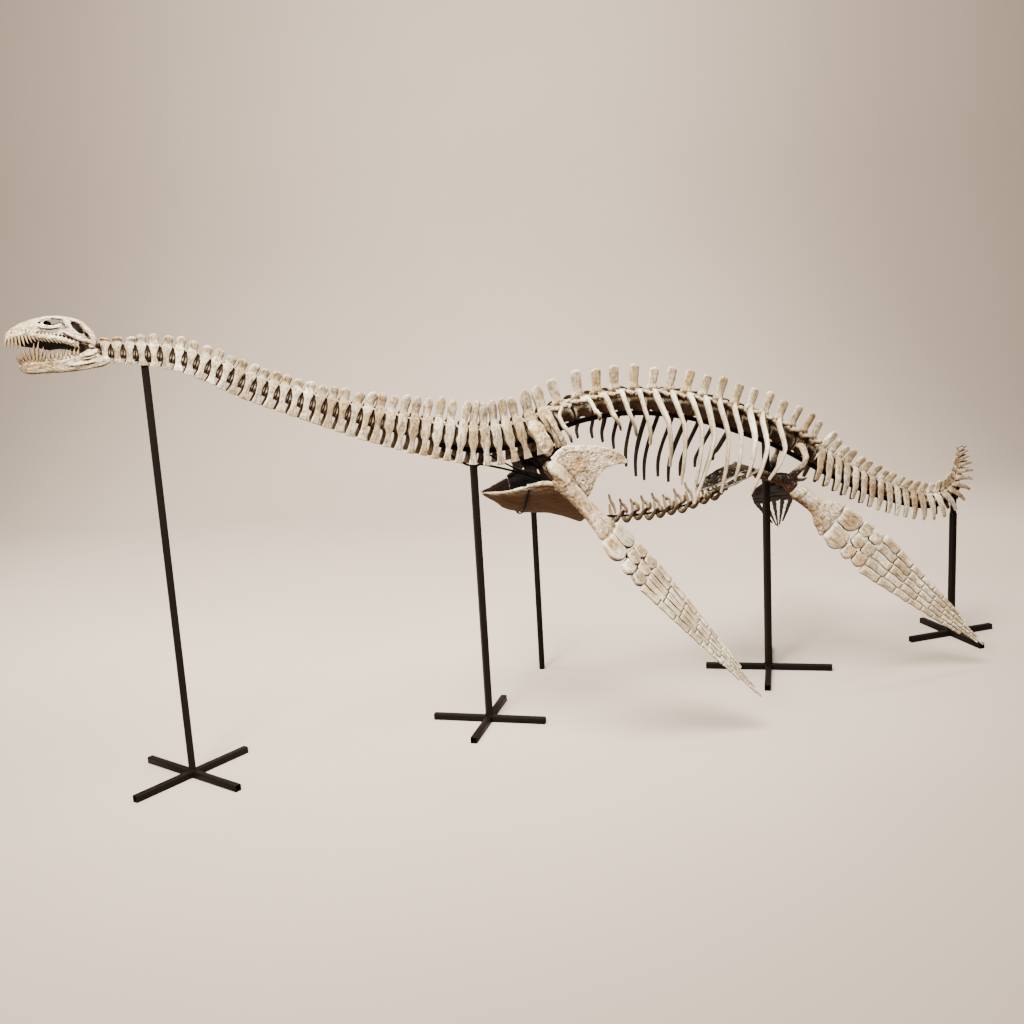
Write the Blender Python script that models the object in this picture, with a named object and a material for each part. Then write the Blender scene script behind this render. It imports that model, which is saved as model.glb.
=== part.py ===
# Mounted plesiosaur skeleton on four cross-footed stands, a rear prop, and a bar under the backbone.
# Metres, +Z up, floor at z 0. The head points to -X, and the hip stand's foot is at the origin.
# The animal's left side is -Y.

import math

import bmesh
import bpy
import numpy as np
from mathutils import Vector

GAP = 0.0003  # between neighbouring nodes, so that they meet without overlapping

# Backbone: the middle of the vertebral bodies in the plane y 0, from skull to tail tip, as (x, z)
BACKBONE = (
    (-2.500, 1.545), (-2.240, 1.498), (-1.975, 1.370), (-1.623, 1.233), (-1.317, 1.136),
    (-1.158, 1.104), (-0.989, 1.125), (-0.772, 1.180), (-0.539, 1.186), (-0.270, 1.132),
    (0.079, 0.995), (0.346, 0.836), (0.590, 0.711), (0.790, 0.641), (0.905, 0.640),
    (0.970, 0.683), (0.999, 0.760), (0.996, 0.852),
)
# Runs of vertebrae: (count, first length, last length), scaled together to fill the backbone
NECK, CHEST, BACK = (36, 0.0385, 0.0485), (2, 0.062, 0.066), (14, 0.074, 0.071)
HIP, TAIL, TIP = (3, 0.060, 0.058), (16, 0.050, 0.044), (8, 0.035, 0.020)
# Sizes along the backbone, as (distance from the skull, value)
BODY_RADIUS = ((0, 0.020), (0.8, 0.024), (1.5, 0.030), (2.2, 0.031), (2.8, 0.033), (3.2, 0.026), (3.6, 0.018),
               (3.87, 0.005))
SPINE_TOP = ((0, 0.046), (0.2, 0.076), (0.75, 0.080), (1.05, 0.118), (1.3, 0.150), (1.5, 0.152), (1.75, 0.160),
             (2.1, 0.150), (2.6, 0.156), (2.86, 0.150), (3.0, 0.112), (3.3, 0.086), (3.6, 0.078), (3.75, 0.050),
             (3.87, 0.016))
RIB_DROP = ((0, 0.028), (0.2, 0.038), (0.7, 0.056), (1.05, 0.078), (1.55, 0.090), (2.9, 0.085), (3.3, 0.085),
            (3.6, 0.078), (3.75, 0.060), (3.87, 0.022))
# Rib cage: how far each rib's end hangs below the backbone, from the shoulders back
LEFT_DROP = (0.09, 0.05, 0.09, 0.11, 0.14, 0.23, 0.30, 0.29, 0.36, 0.31, 0.26, 0.25, 0.28, 0.20)
RIGHT_DROP = (0.10, 0.10, 0.11, 0.13, 0.16, 0.22, 0.27, 0.29, 0.28, 0.27, 0.25, 0.22, 0.19, 0.15)
CAGE_HALF_WIDTH = 0.185

# Skull, side on: (x, top z, lower z, half width at the top, half width below)
SKULL = (
    (-2.782, 1.622, 1.606, 0.010, 0.014), (-2.760, 1.640, 1.604, 0.020, 0.028),
    (-2.730, 1.655, 1.608, 0.026, 0.034), (-2.690, 1.665, 1.606, 0.030, 0.038),
    (-2.640, 1.671, 1.600, 0.036, 0.050), (-2.590, 1.668, 1.584, 0.040, 0.060),
    (-2.550, 1.650, 1.572, 0.036, 0.066), (-2.520, 1.626, 1.568, 0.024, 0.060),
)
JAW_JOINT = (-2.520, 0.052, 1.561)  # right side's hinge face

# Stands
TUBE = 0.0125  # half the side of the square tube
FOOT_HALF = {"neck": 0.250, "shoulder": 0.225, "hip": 0.262, "tail": 0.212}
HIP_STAND_X = 0.030  # X is measured from the middle of the hips; the hip stand's foot becomes the origin
STAND_X = {"neck": -2.358, "shoulder": -1.2215, "hip": HIP_STAND_X, "tail": 0.966}
STAND_TURN = {"neck": 33.0, "shoulder": -34.0, "hip": -32.0, "tail": -2.0}  # degrees of the foot's cross
PROP = (-0.818, 0.475, 1.080)  # a bare round pole on the far side; its arm reaches the bar at PROP_ARM_X
PROP_ARM_X = -1.000
BRACE_X = -1.330
BAR_DEPTH = 0.018
BAR_HALF_WIDTH = 0.010
TAIL_BAR_HALF_WIDTH = 0.006
ROD = 0.0045

# Limbs: root, direction of the length, direction of the trailing edge, length, broadest half width,
# and the upper bone's share of the length
FRONT_LEFT = ((-0.980, -0.240, 0.985), (0.58, -0.277, -0.768), (0.80, 0.57, 0.15), 1.12, 0.088, 0.25)
FRONT_RIGHT = ((-0.950, 0.240, 0.985), (0.27, 0.90, -0.33), (0.35, 0.0, 0.93), 1.06, 0.088, 0.25)
HIND_LEFT = ((0.095, -0.105, 0.794), (0.696, -0.26, -0.675), (0.672, -0.067, 0.726), 1.050, 0.092, 0.205)
HIND_RIGHT = ((0.113, 0.105, 0.800), (0.50, 0.76, -0.42), (0.90, -0.33, 0.05), 1.00, 0.092, 0.205)

BONE = (0.62, 0.53, 0.41, 1.0)
STEEL = (0.018, 0.014, 0.011, 1.0)


# Basic shapes: each is a list of points and a list of faces

def ramp(table, s):
    return float(np.interp(s, [row[0] for row in table], [row[1] for row in table]))


def volume_of(points, faces):
    total = 0.0
    for face in faces:
        a = points[face[0]]
        for b, c in zip(face[1:-1], face[2:]):
            total += a.dot(points[b].cross(points[c]))
    return total


def loft(rings):
    """A closed skin over rings of equal length. A ring of one point makes a pointed end."""
    points, index, faces = [], [], []
    for ring in rings:
        index.append(range(len(points), len(points) + len(ring)))
        points += [Vector(p) for p in ring]
    for low, high in zip(index[:-1], index[1:]):
        n = max(len(low), len(high))
        for i in range(n):
            j = (i + 1) % n
            if len(low) == 1:
                faces.append((low[0], high[j], high[i]))
            elif len(high) == 1:
                faces.append((low[i], low[j], high[0]))
            else:
                faces.append((low[i], low[j], high[j], high[i]))
    if len(index[0]) > 1:
        faces.append(tuple(reversed(index[0])))
    if len(index[-1]) > 1:
        faces.append(tuple(index[-1]))
    if volume_of(points, faces) < 0:
        faces = [tuple(reversed(face)) for face in faces]
    return points, faces


def rectangle(centre, u, v, a, b):
    return [centre - u * a - v * b, centre + u * a - v * b, centre + u * a + v * b, centre - u * a + v * b]


def oval(centre, u, v, a, b, sides=8):
    turns = [2 * math.pi * (i + 0.5) / sides for i in range(sides)]
    return [centre + u * (a * math.cos(t)) + v * (b * math.sin(t)) for t in turns]


def along(points):
    """Unit directions of a run of points."""
    steps = [(b - a).normalized() for a, b in zip(points[:-1], points[1:])]
    inner = [(a + b).normalized() for a, b in zip(steps[:-1], steps[1:])]
    return [steps[0]] + inner + [steps[-1]]


def strand(points, sizes, wide, sides=4):
    """A bent bar: sizes are half widths along `wide` and across it, one pair for each point."""
    points = [Vector(p) for p in points]
    rings = []
    for point, direction, (a, b) in zip(points, along(points), sizes):
        u = (wide - direction * wide.dot(direction)).normalized()
        v = direction.cross(u)
        rings.append(rectangle(point, u, v, a, b) if sides == 4 else oval(point, u, v, a, b, sides))
    return loft(rings)


def sheet(grid, thickness, square=()):
    """A bent plate: rows of points, thickened evenly to both sides. Rows in `square` end flat along X."""
    rows, columns = len(grid), len(grid[0])
    points = [Vector(p) for row in grid for p in row]
    normals = []
    for i in range(rows):
        for j in range(columns):
            du = Vector(grid[min(i + 1, rows - 1)][j]) - Vector(grid[max(i - 1, 0)][j])
            dv = Vector(grid[i][min(j + 1, columns - 1)]) - Vector(grid[i][max(j - 1, 0)])
            normal = du.cross(dv).normalized()
            if i in square:
                normal = Vector((0, normal.y, normal.z)).normalized()
            normals.append(normal)
    count = len(points)
    both = [p + n * thickness / 2 for p, n in zip(points, normals)]
    both += [p - n * thickness / 2 for p, n in zip(points, normals)]
    faces = []
    for i in range(rows - 1):
        for j in range(columns - 1):
            k = i * columns + j
            faces.append((k, k + columns, k + columns + 1, k + 1))
            faces.append((count + k, count + k + 1, count + k + columns + 1, count + k + columns))
    rim = [j for j in range(columns)] + [i * columns + columns - 1 for i in range(1, rows)]
    rim += [(rows - 1) * columns + j for j in range(columns - 2, -1, -1)] + [i * columns for i in range(rows - 2, 0, -1)]
    for a, b in zip(rim, rim[1:] + rim[:1]):
        faces.append((a, b, count + b, count + a))
    if volume_of(both, faces) < 0:
        faces = [tuple(reversed(face)) for face in faces]
    return both, faces


def tooth(root, tip, bend, radius):
    """A curved pointed tooth with three sides."""
    root, tip = Vector(root), Vector(tip)
    axis = (tip - root).normalized()
    u = axis.cross(Vector((0, 1, 0))).normalized()
    v = axis.cross(u)
    middle = (root + tip) / 2 + Vector(bend)
    return loft([oval(root, u, v, radius, radius, 3), oval(middle, u, v, radius * 0.75, radius * 0.75, 3), [tip]])


def mirrored(piece):
    points, faces = piece
    return [Vector((p.x, -p.y, p.z)) for p in points], [tuple(reversed(face)) for face in faces]


# Joining the pieces of a node

def mesh_object(name, piece):
    mesh = bpy.data.meshes.new(name)
    mesh.from_pydata([(p.x - HIP_STAND_X, p.y, p.z) for p in piece[0]], [], piece[1])
    obj = bpy.data.objects.new(name, mesh)
    bpy.context.scene.collection.objects.link(obj)
    return obj


def is_closed(mesh):
    bm = bmesh.new()
    bm.from_mesh(mesh)
    good = len(bm.edges) > 0 and all(edge.is_manifold for edge in bm.edges)
    bm.free()
    return good


def largest_surface(mesh):
    """Keeps the biggest closed surface, so that no stray crumb of a union is left."""
    bm = bmesh.new()
    bm.from_mesh(mesh)
    bmesh.ops.triangulate(bm, faces=bm.faces)
    left, shells = set(bm.faces), []
    while left:
        stack, shell = [left.pop()], []
        while stack:
            face = stack.pop()
            shell.append(face)
            for edge in face.edges:
                for other in edge.link_faces:
                    if other in left:
                        left.remove(other)
                        stack.append(other)
        shells.append(shell)
    shells.sort(key=lambda faces: sum(face.calc_area() for face in faces))
    for shell in shells[:-1]:
        bmesh.ops.delete(bm, geom=shell, context="FACES")
    bm.to_mesh(mesh)
    bm.free()


def evaluated(obj):
    graph = bpy.context.evaluated_depsgraph_get()
    return bpy.data.meshes.new_from_object(obj.evaluated_get(graph))


def combine(obj, others, operation):
    """One Boolean of an object with a list of others, applied; the others are removed."""
    group = bpy.data.collections.new("helpers")
    bpy.context.scene.collection.children.link(group)
    for other in others:
        bpy.context.scene.collection.objects.unlink(other)
        group.objects.link(other)
    modifier = obj.modifiers.new("join", "BOOLEAN")
    modifier.operation = operation
    modifier.operand_type = "COLLECTION"
    modifier.collection = group
    result = None
    for solver in ("EXACT", "MANIFOLD"):
        modifier.solver = solver
        result = evaluated(obj)
        if is_closed(result):
            break
    obj.modifiers.clear()
    obj.data = result
    for other in others:
        bpy.data.objects.remove(other)
    bpy.data.collections.remove(group)


def material(name, colour, rough, metallic):
    found = bpy.data.materials.new(name)
    found.use_nodes = True
    shader = found.node_tree.nodes["Principled BSDF"]
    shader.inputs["Base Color"].default_value = colour
    shader.inputs["Roughness"].default_value = rough
    shader.inputs["Metallic"].default_value = metallic
    return found


def node(name, pieces, cut=()):
    """One object of the part: its pieces joined, cutters taken away, the largest surface kept."""
    objects = [mesh_object(name, piece) for piece in pieces]
    obj = objects[0]
    if objects[1:]:
        combine(obj, objects[1:], "UNION")
    if cut:
        combine(obj, [mesh_object("cutter", piece) for piece in cut], "DIFFERENCE")
    largest_surface(obj.data)
    obj.name = name
    steel = name.startswith("stand_")
    kind = material(name, STEEL, 0.5, 0.0) if steel else material(name, BONE, 0.85, 0.0)
    obj.data.materials.clear()
    obj.data.materials.append(kind)
    return obj


# Backbone

def smooth_path(corners, steps=24):
    """A curve through the corners (Catmull-Rom), as an array of x and z."""
    p = np.array(corners, float)
    p = np.vstack([2 * p[0] - p[1], p, 2 * p[-1] - p[-2]])
    out = []
    for i in range(1, len(p) - 2):
        for k in range(steps):
            t = k / steps
            out.append(0.5 * (2 * p[i] + (p[i + 1] - p[i - 1]) * t
                              + (2 * p[i - 1] - 5 * p[i] + 4 * p[i + 1] - p[i + 2]) * t ** 2
                              + (3 * p[i] - p[i - 1] - 3 * p[i + 1] + p[i + 2]) * t ** 3))
    return np.array(out + [p[-2]])


PATH = smooth_path(BACKBONE)
ARC = np.concatenate([[0], np.cumsum(np.hypot(*np.diff(PATH, axis=0).T))])


def backbone(s, above=0.0, side=0.0):
    """(point, direction to the tail, up) at a distance from the skull."""
    x, z = np.interp(s, ARC, PATH[:, 0]), np.interp(s, ARC, PATH[:, 1])
    reach = 0.02
    ends = [np.clip(s + d, 0, ARC[-1]) for d in (-reach, reach)]
    dx = np.diff([np.interp(e, ARC, PATH[:, 0]) for e in ends])[0]
    dz = np.diff([np.interp(e, ARC, PATH[:, 1]) for e in ends])[0]
    t = Vector((dx, 0, dz)).normalized()
    up = Vector((-t.z, 0, t.x))
    return Vector((x, side, z)) + up * above, t, up


def distance_at(x):
    """Distance from the skull to where the backbone first crosses x."""
    return float(ARC[int(np.argmax(PATH[:, 0] >= x))])


def joints_of(*runs):
    lengths = [a + (b - a) * i / max(count - 1, 1) for count, a, b in runs for i in range(count)]
    ends = np.concatenate([[0], np.cumsum(lengths)])
    return ends * ARC[-1] / ends[-1]


JOINTS = joints_of(NECK, CHEST, BACK, HIP, TAIL, TIP)
BACK_FROM = NECK[0] + CHEST[0]
ACROSS = Vector((0, 1, 0))
BODY_SIDES = 6
FLAT = math.cos(math.pi / BODY_SIDES)  # from the middle of a vertebral body to its flat underside


def bodies(first, last, waisted=True):
    """The vertebral bodies of a run as one notched column."""
    rings = []
    for i in range(first, last + 1):
        shift = GAP / 2 if i == first else -GAP / 2 if i == last else 0.0
        s = JOINTS[i] + shift
        point, _, up = backbone(s)
        if shift:
            _, _, up = backbone(JOINTS[i])
        r = ramp(BODY_RADIUS, s)
        rings.append(oval(point, up, ACROSS, r, r, BODY_SIDES))
        if waisted and i < last:
            middle = (JOINTS[i] + JOINTS[i + 1]) / 2
            point, _, up = backbone(middle)
            r = ramp(BODY_RADIUS, middle) * 0.80
            rings.append(oval(point, up, ACROSS, r, r, BODY_SIDES))
    return loft(rings)


def spine_blade(i, lean=0.0):
    """Neural arch and spine of vertebra i."""
    middle, pitch = (JOINTS[i] + JOINTS[i + 1]) / 2, JOINTS[i + 1] - JOINTS[i]
    point, t, up = backbone(middle)
    r, top = ramp(BODY_RADIUS, middle), ramp(SPINE_TOP, middle) * (1 + 0.035 * math.sin(2.3 * i))
    up_leaning = (up + t * (lean + 0.05 * math.sin(1.7 * i))).normalized()
    return loft([
        rectangle(point + up * r * 0.3, t, ACROSS, pitch * 0.36, r * 0.44),
        rectangle(point + up_leaning * min(r * 1.8, top * 0.66), t, ACROSS, pitch * 0.25, r * 0.24),
        rectangle(point + up_leaning * top, t, ACROSS, pitch * 0.31, r * 0.17),
    ])


def hanging_rib(i, side):
    """Short rib of a neck or tail vertebra, with its flared foot."""
    middle, pitch = (JOINTS[i] + JOINTS[i + 1]) / 2, JOINTS[i + 1] - JOINTS[i]
    point, t, up = backbone(middle)
    r, drop = ramp(BODY_RADIUS, middle), ramp(RIB_DROP, middle) * (1 + 0.05 * math.sin(3.1 * i))
    out = ACROSS * side
    steps = ((0.50, -0.12, 0.13), (1.45 if i < BACK_FROM else 1.75, -drop / r, 0.30))
    points = [point + out * (a * r) + up * (b * r) + t * (pitch * 0.20 * k) for k, (a, b, _) in enumerate(steps)]
    return strand(points, [(pitch * w, max(r * 0.16, 0.0022)) for _, _, w in steps], t)


def chain(name, first, last, waisted=True):
    pieces = [bodies(first, last, waisted)]
    for i in range(first, last):
        pieces.append(spine_blade(i))
        pieces += [hanging_rib(i, side) for side in (-1, 1)]
    return node(name, pieces)


# Rib cage, in a left and a right half that meet in the middle plane

def cage_rib(i, side, drop):
    middle, pitch = (JOINTS[i] + JOINTS[i + 1]) / 2, JOINTS[i + 1] - JOINTS[i]
    point, t, up = backbone(middle)
    out, down = ACROSS * side, Vector((0, 0, -1))
    reach = CAGE_HALF_WIDTH * min(1.0, 0.45 + drop * 2.2)
    head = point + up * 0.030 + out * 0.012
    crown = point + up * 0.040 + out * min(0.070, reach * 0.6)
    points = [
        head, crown,
        point + out * reach * 0.86 + down * drop * 0.16,
        point + out * reach + down * drop * 0.56 + t * 0.006,
        point + out * reach * 0.80 + down * drop,
    ]
    sizes = [(0.011, 0.008), (0.010, 0.0075), (0.0095, 0.006), (0.0085, 0.0055), (0.006, 0.004)]
    return strand(points, sizes, t)


def cage_half(name, first, last, side, drops):
    pieces = [bodies(first, last)]
    for i in range(first, last):
        pieces.append(spine_blade(i))
        pieces.append(cage_rib(i, side, drops[i - first]))
    middle, _, _ = backbone((JOINTS[first] + JOINTS[last]) / 2)
    block = loft([
        rectangle(Vector((middle.x, -side * (0.5 - GAP / 2), middle.z - 0.6)), Vector((1, 0, 0)), ACROSS, 1.2, 0.5),
        rectangle(Vector((middle.x, -side * (0.5 - GAP / 2), middle.z + 0.6)), Vector((1, 0, 0)), ACROSS, 1.2, 0.5),
    ])
    return node(name, pieces, cut=[block])


# Skull and jaw

def skull_ring(x, top, low, wide_top, wide_low):
    middle = (top + low) / 2
    half = [(0.0, top), (wide_top * 0.8, top - 0.006), (wide_low, middle), (wide_low * 0.92, low)]
    return [Vector((x, y, z)) for y, z in half] + [Vector((x, -y, z)) for y, z in reversed(half[1:])]


def jaw_edge(x):
    """Lower edge and half width of the upper jaw at x."""
    rows = SKULL[::1]
    xs = [row[0] for row in rows]
    return float(np.interp(x, xs, [row[2] for row in rows])), float(np.interp(x, xs, [row[4] for row in rows]))


def skull():
    pieces = [loft([skull_ring(*row) for row in SKULL])]
    # The condyle meets the first neck vertebra face to face
    point, t, up = backbone(0)
    face = point - t * GAP / 2
    pieces.append(loft([oval(face - t * 0.045, ACROSS, up, 0.020, 0.020), oval(face, ACROSS, up, 0.015, 0.015)]))
    x, y, z = JAW_JOINT
    for side in (-1, 1):
        pieces.append(loft([
            rectangle(Vector((x, side * y, z)), Vector((1, 0, 0)), ACROSS, 0.010, 0.008),
            rectangle(Vector((x - 0.004, side * y, z + 0.030)), Vector((1, 0, 0)), ACROSS, 0.016, 0.009),
        ]))
        for k in range(5):  # long front teeth, raked forwards
            tx = -2.772 + 0.0145 * k
            low, wide = jaw_edge(tx)
            pieces.append(tooth((tx, side * wide * 0.80, low + 0.006),
                                (tx - 0.006, side * (wide * 0.95 + 0.003), low - 0.028 - 0.004 * (k % 2)),
                                (-0.004, side * 0.003, 0), 0.0036))
        for k in range(11):  # short cheek teeth
            tx = -2.694 + 0.0125 * k
            low, wide = jaw_edge(tx)
            pieces.append(tooth((tx, side * wide * 0.84, low + 0.005),
                                (tx - 0.002, side * wide * 0.90, low - 0.020 + 0.0007 * k),
                                (-0.0015, side * 0.001, 0), 0.0028))
    across = Vector((0, 1, 0))
    holes = []
    for centre, a, b, slant in (((-2.637, 1.652), 0.017, 0.0065, 0.10), ((-2.552, 1.630), 0.022, 0.0085, -0.85)):
        u = Vector((math.cos(slant), 0, math.sin(slant)))
        v = Vector((-u.z, 0, u.x))
        c = Vector((centre[0], 0, centre[1]))
        holes.append(loft([oval(c - across * 0.1, u, v, a, b), oval(c + across * 0.1, u, v, a, b)]))
    return node("skull", pieces, cut=holes)


def jaw():
    x, y, z = JAW_JOINT
    run = [(-2.470, 0.046, 1.516), (-2.520, 0.052, 1.527), (-2.580, 0.050, 1.522), (-2.650, 0.038, 1.512),
           (-2.705, 0.027, 1.508), (-2.733, 0.014, 1.508)]
    path = [Vector(p) for p in run] + [Vector((p[0], -p[1], p[2])) for p in reversed(run)]
    heights = (0.012, 0.026, 0.027, 0.021, 0.019, 0.019)
    sizes = [(h, 0.008) for h in heights] + [(h, 0.008) for h in reversed(heights)]
    pieces = [strand(path, sizes, Vector((0, 0, 1)), sides=6)]
    pieces.append(loft([  # chin where the two sides join
        rectangle(Vector((-2.744, 0, 1.510)), ACROSS, Vector((0, 0, 1)), 0.012, 0.015),
        rectangle(Vector((-2.722, 0, 1.508)), ACROSS, Vector((0, 0, 1)), 0.022, 0.018),
        rectangle(Vector((-2.690, 0, 1.503)), ACROSS, Vector((0, 0, 1)), 0.022, 0.010),
    ]))
    for side in (-1, 1):
        pieces.append(loft([
            rectangle(Vector((x, side * y, z - GAP)), Vector((1, 0, 0)), ACROSS, 0.010, 0.009),
            rectangle(Vector((x, side * y, z - 0.030)), Vector((1, 0, 0)), ACROSS, 0.018, 0.007),
        ]))
        for k in range(12):
            along_jaw = k / 11
            tx = -2.742 + 0.165 * along_jaw
            wide = float(np.interp(tx, [-2.742, -2.705, -2.650, -2.580], [0.012, 0.027, 0.038, 0.050]))
            base = float(np.interp(tx, [-2.742, -2.705, -2.580], [1.520, 1.524, 1.546]))
            tall = 0.052 if 3 <= k <= 4 else 0.036 if k < 6 else 0.020
            lean = -0.022 if k < 3 else -0.004
            pieces.append(tooth((tx, side * wide * 0.95, base), (tx + lean, side * (wide + 0.004), base + tall),
                                (-0.003, side * 0.003, 0), 0.0034 if tall > 0.03 else 0.0028))
    return node("lower_jaw", pieces)


# Limbs

def limb_axes(limb):
    root, length_way, edge_way, length, half, share = limb
    a = Vector(length_way).normalized()
    c = Vector(edge_way)
    c = (c - a * c.dot(a)).normalized()
    return Vector(root), a, c, a.cross(c), length, half, share


def upper_limb(name, limb):
    """Humerus or femur: round head, waisted shaft, flat flared end."""
    root, a, c, n, length, half, share = limb_axes(limb)
    reach = length * share
    rows = ((0.0, 0.026, 0.024), (0.10, 0.036, 0.033), (0.24, 0.032, 0.027), (0.45, 0.030, 0.021),
            (0.70, 0.045, 0.018), (0.92, half * 0.90, 0.016), (1.0, half * 0.84, 0.011))
    rings = [oval(root + a * (reach * k), c, n, w, d) for k, w, d in rows]
    return node(name, [loft(rings)])


def plate(centre, a, c, n, long, wide, deep, sides=6):
    rings = [oval(centre + n * h, a, c, long, wide, sides) for h in (-deep, deep)]
    return loft(rings)


def flipper(name, limb):
    """Forearm or shin, wrist or ankle, and five digits, from the upper bone's end to the tip."""
    root, a, c, n, length, half, share = limb_axes(limb)
    start, span = length * share + GAP, length * (1 - share)
    at = lambda along_limb, across_limb: root + a * (start + span * along_limb) + c * across_limb
    # The two forearm bones begin with flat faces against the upper bone
    pieces = []
    for middle, wide in ((-half * 0.42, half * 0.44), (half * 0.42, half * 0.44)):
        pieces.append(loft([
            rectangle(at(0.0, middle), c, n, wide * 0.85, 0.009), rectangle(at(0.05, middle), c, n, wide, 0.012),
            rectangle(at(0.105, middle), c, n, wide * 1.05, 0.011), rectangle(at(0.135, middle), c, n, wide * 0.7, 0.009),
        ]))
    for row, wide in ((0.165, half * 0.98), (0.235, half * 0.96)):
        for k in (-1, 1):
            pieces.append(plate(at(row, k * wide * 0.47), a, c, n, span * 0.050, wide * 0.54, 0.010))
    # Digits: one strand each, thick at the joints; they fan close together towards the tip
    joints = 4
    for k in range(5):
        place = (k - 2) / 2.0
        reach = (0.86, 0.97, 1.0, 0.95, 0.84)[k]
        points, sizes = [], []
        for j in range(joints * 2 + 1):
            along_digit = j / (joints * 2)
            far = 0.25 + (reach - 0.25) * along_digit
            spread = half * 0.86 * (1 - max(far - 0.25, 0) / 0.75 * 0.90) ** 0.85
            points.append(at(far, place * spread))
            wide = spread * (0.225 if j % 2 == 0 else 0.16)
            deep = 0.0085 * (1 - along_digit * 0.62) * (1.0 if j % 2 == 0 else 0.75)
            sizes.append((max(wide, 0.0025), max(deep, 0.0025)))
        pieces.append(strand(points, sizes, c))
    return node(name, pieces)


def socket(limb, reach, radius):
    """A stub of bone that ends face to face with the head of a limb."""
    root, a, c, n, _, _, _ = limb_axes(limb)
    return loft([oval(root - a * reach, c, n, radius * 0.9, radius * 0.9), oval(root - a * GAP, c, n, radius, radius)])


# Shoulder girdle: a trough of plates, as sections (x, keel z, half width, rim z)
TROUGH = ((-1.150, 0.893, 0.040, 0.905), (-1.105, 0.845, 0.085, 0.915), (-1.050, 0.818, 0.120, 0.930))
TROUGH_BACK = ((-1.050, 0.818, 0.120, 0.930), (-0.990, 0.812, 0.150, 0.940), (-0.920, 0.795, 0.165, 0.925),
               (-0.850, 0.772, 0.150, 0.880), (-0.800, 0.755, 0.110, 0.815))
PLATE = 0.012


def trough_row(x, keel, half, rim, side, inner):
    inside = 0.024
    rows = ((inner, keel), (inside, keel), (inside + (half - inside) * 0.55, keel + (rim - keel) * 0.42), (half, rim))
    return [Vector((x, side * y, z)) for y, z in rows]


def collar_plate():
    grid = []
    for x, keel, half, rim in TROUGH:
        right = trough_row(x, keel, half, rim, 1, 0.0)
        left = trough_row(x, keel, half, rim, -1, 0.0)
        grid.append(list(reversed(left))[:-1] + right)
    return node("collar_plate", [sheet(grid, PLATE, square=(0, len(grid) - 1))])


def shoulder(name, side, limb):
    grid = [trough_row(x + (GAP if k == 0 else 0), keel, half, rim, side, GAP / 2)
            for k, (x, keel, half, rim) in enumerate(TROUGH_BACK)]
    pieces = [sheet(grid, PLATE, square=(0,))]
    # Shoulder blade: rows of (x, z) from its top edge down to its foot
    y = 0.180
    rows = (((-0.978, 1.045), (-0.881, 1.082), (-0.790, 1.076), (-0.723, 1.050), (-0.680, 1.010)),
            ((-0.960, 1.020), (-0.880, 1.030), (-0.810, 1.022), (-0.765, 1.005), (-0.735, 0.994)),
            ((-0.930, 0.985), (-0.885, 0.975), (-0.845, 0.970), (-0.815, 0.968), (-0.797, 0.962)),
            ((-0.900, 0.940), (-0.880, 0.930), (-0.860, 0.925), (-0.845, 0.920), (-0.828, 0.915)),
            ((-0.885, 0.880), (-0.875, 0.878), (-0.865, 0.876), (-0.850, 0.874), (-0.836, 0.872)))
    blade = [[Vector((x, side * (y - 0.018 * (z < 0.89) - 0.10 * max(z - 1.0, 0)), z)) for x, z in row] for row in rows]
    pieces.append(sheet(blade, 0.013))
    # Glenoid: a stub from the blade to the head of the upper arm, and a strut down to the trough
    root, a, _, _, _, _, _ = limb_axes(limb)
    pieces.append(socket(limb, 0.050, 0.022))
    pieces.append(strand([(-0.905, side * 0.180, 1.000), root - a * 0.030], [(0.016, 0.016)] * 2, Vector((0, 0, 1)), 6))
    pieces.append(strand([(-0.870, side * 0.176, 0.905), (-0.880, side * 0.150, 0.895)],
                         [(0.022, 0.016)] * 2, Vector((0, 0, 1)), 6))
    return node(name, pieces)


# Pelvis: ilium from the hip vertebrae to the socket, with the pubis and ischium plates below

def pelvis(name, side, limb, sacral_side):
    root, a, _, _, _, _, _ = limb_axes(limb)
    top = Vector((0.150, side * (sacral_side + GAP), 0.950))
    points = [top, (0.150, side * 0.085, 0.950), (0.146, side * 0.115, 0.890), root - a * 0.025 + Vector((0, 0, 0.02))]
    pieces = [strand(points, [(0.014, 0.013), (0.014, 0.012), (0.012, 0.010), (0.018, 0.014)], Vector((1, 0, 0)), 6)]
    pieces.append(socket(limb, 0.040, 0.025))
    grid = []
    for x, z, inner, outer, rise in ((-0.250, 0.868, 0.030, 0.085, 0.020), (-0.170, 0.868, 0.020, 0.125, 0.040),
                                     (-0.090, 0.858, 0.020, 0.120, 0.045), (-0.020, 0.840, 0.026, 0.085, 0.020)):
        grid.append([Vector((x, side * y, z + rise * k)) for k, y in
                     ((0, inner), (0.45, (inner + outer) / 2), (1, outer))])
    pieces.append(sheet(grid, 0.010))
    grid = []
    for x, z, inner, outer in ((0.020, 0.832, 0.026, 0.080), (0.090, 0.812, 0.016, 0.100), (0.150, 0.800, 0.014, 0.085),
                               (0.200, 0.795, 0.014, 0.050)):
        grid.append([Vector((x, side * y, z + 0.02 * k)) for k, y in
                     ((0, inner), (0.5, (inner + outer) / 2), (1, outer))])
    pieces.append(sheet(grid, 0.010))
    joint = root - a * 0.030
    for x, y, z in ((-0.060, 0.085, 0.868), (0.085, 0.070, 0.822)):
        pieces.append(strand([(x, side * y, z), joint], [(0.018, 0.012), (0.016, 0.014)], Vector((0, 0, 1)), 6))
    return node(name, pieces)


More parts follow.
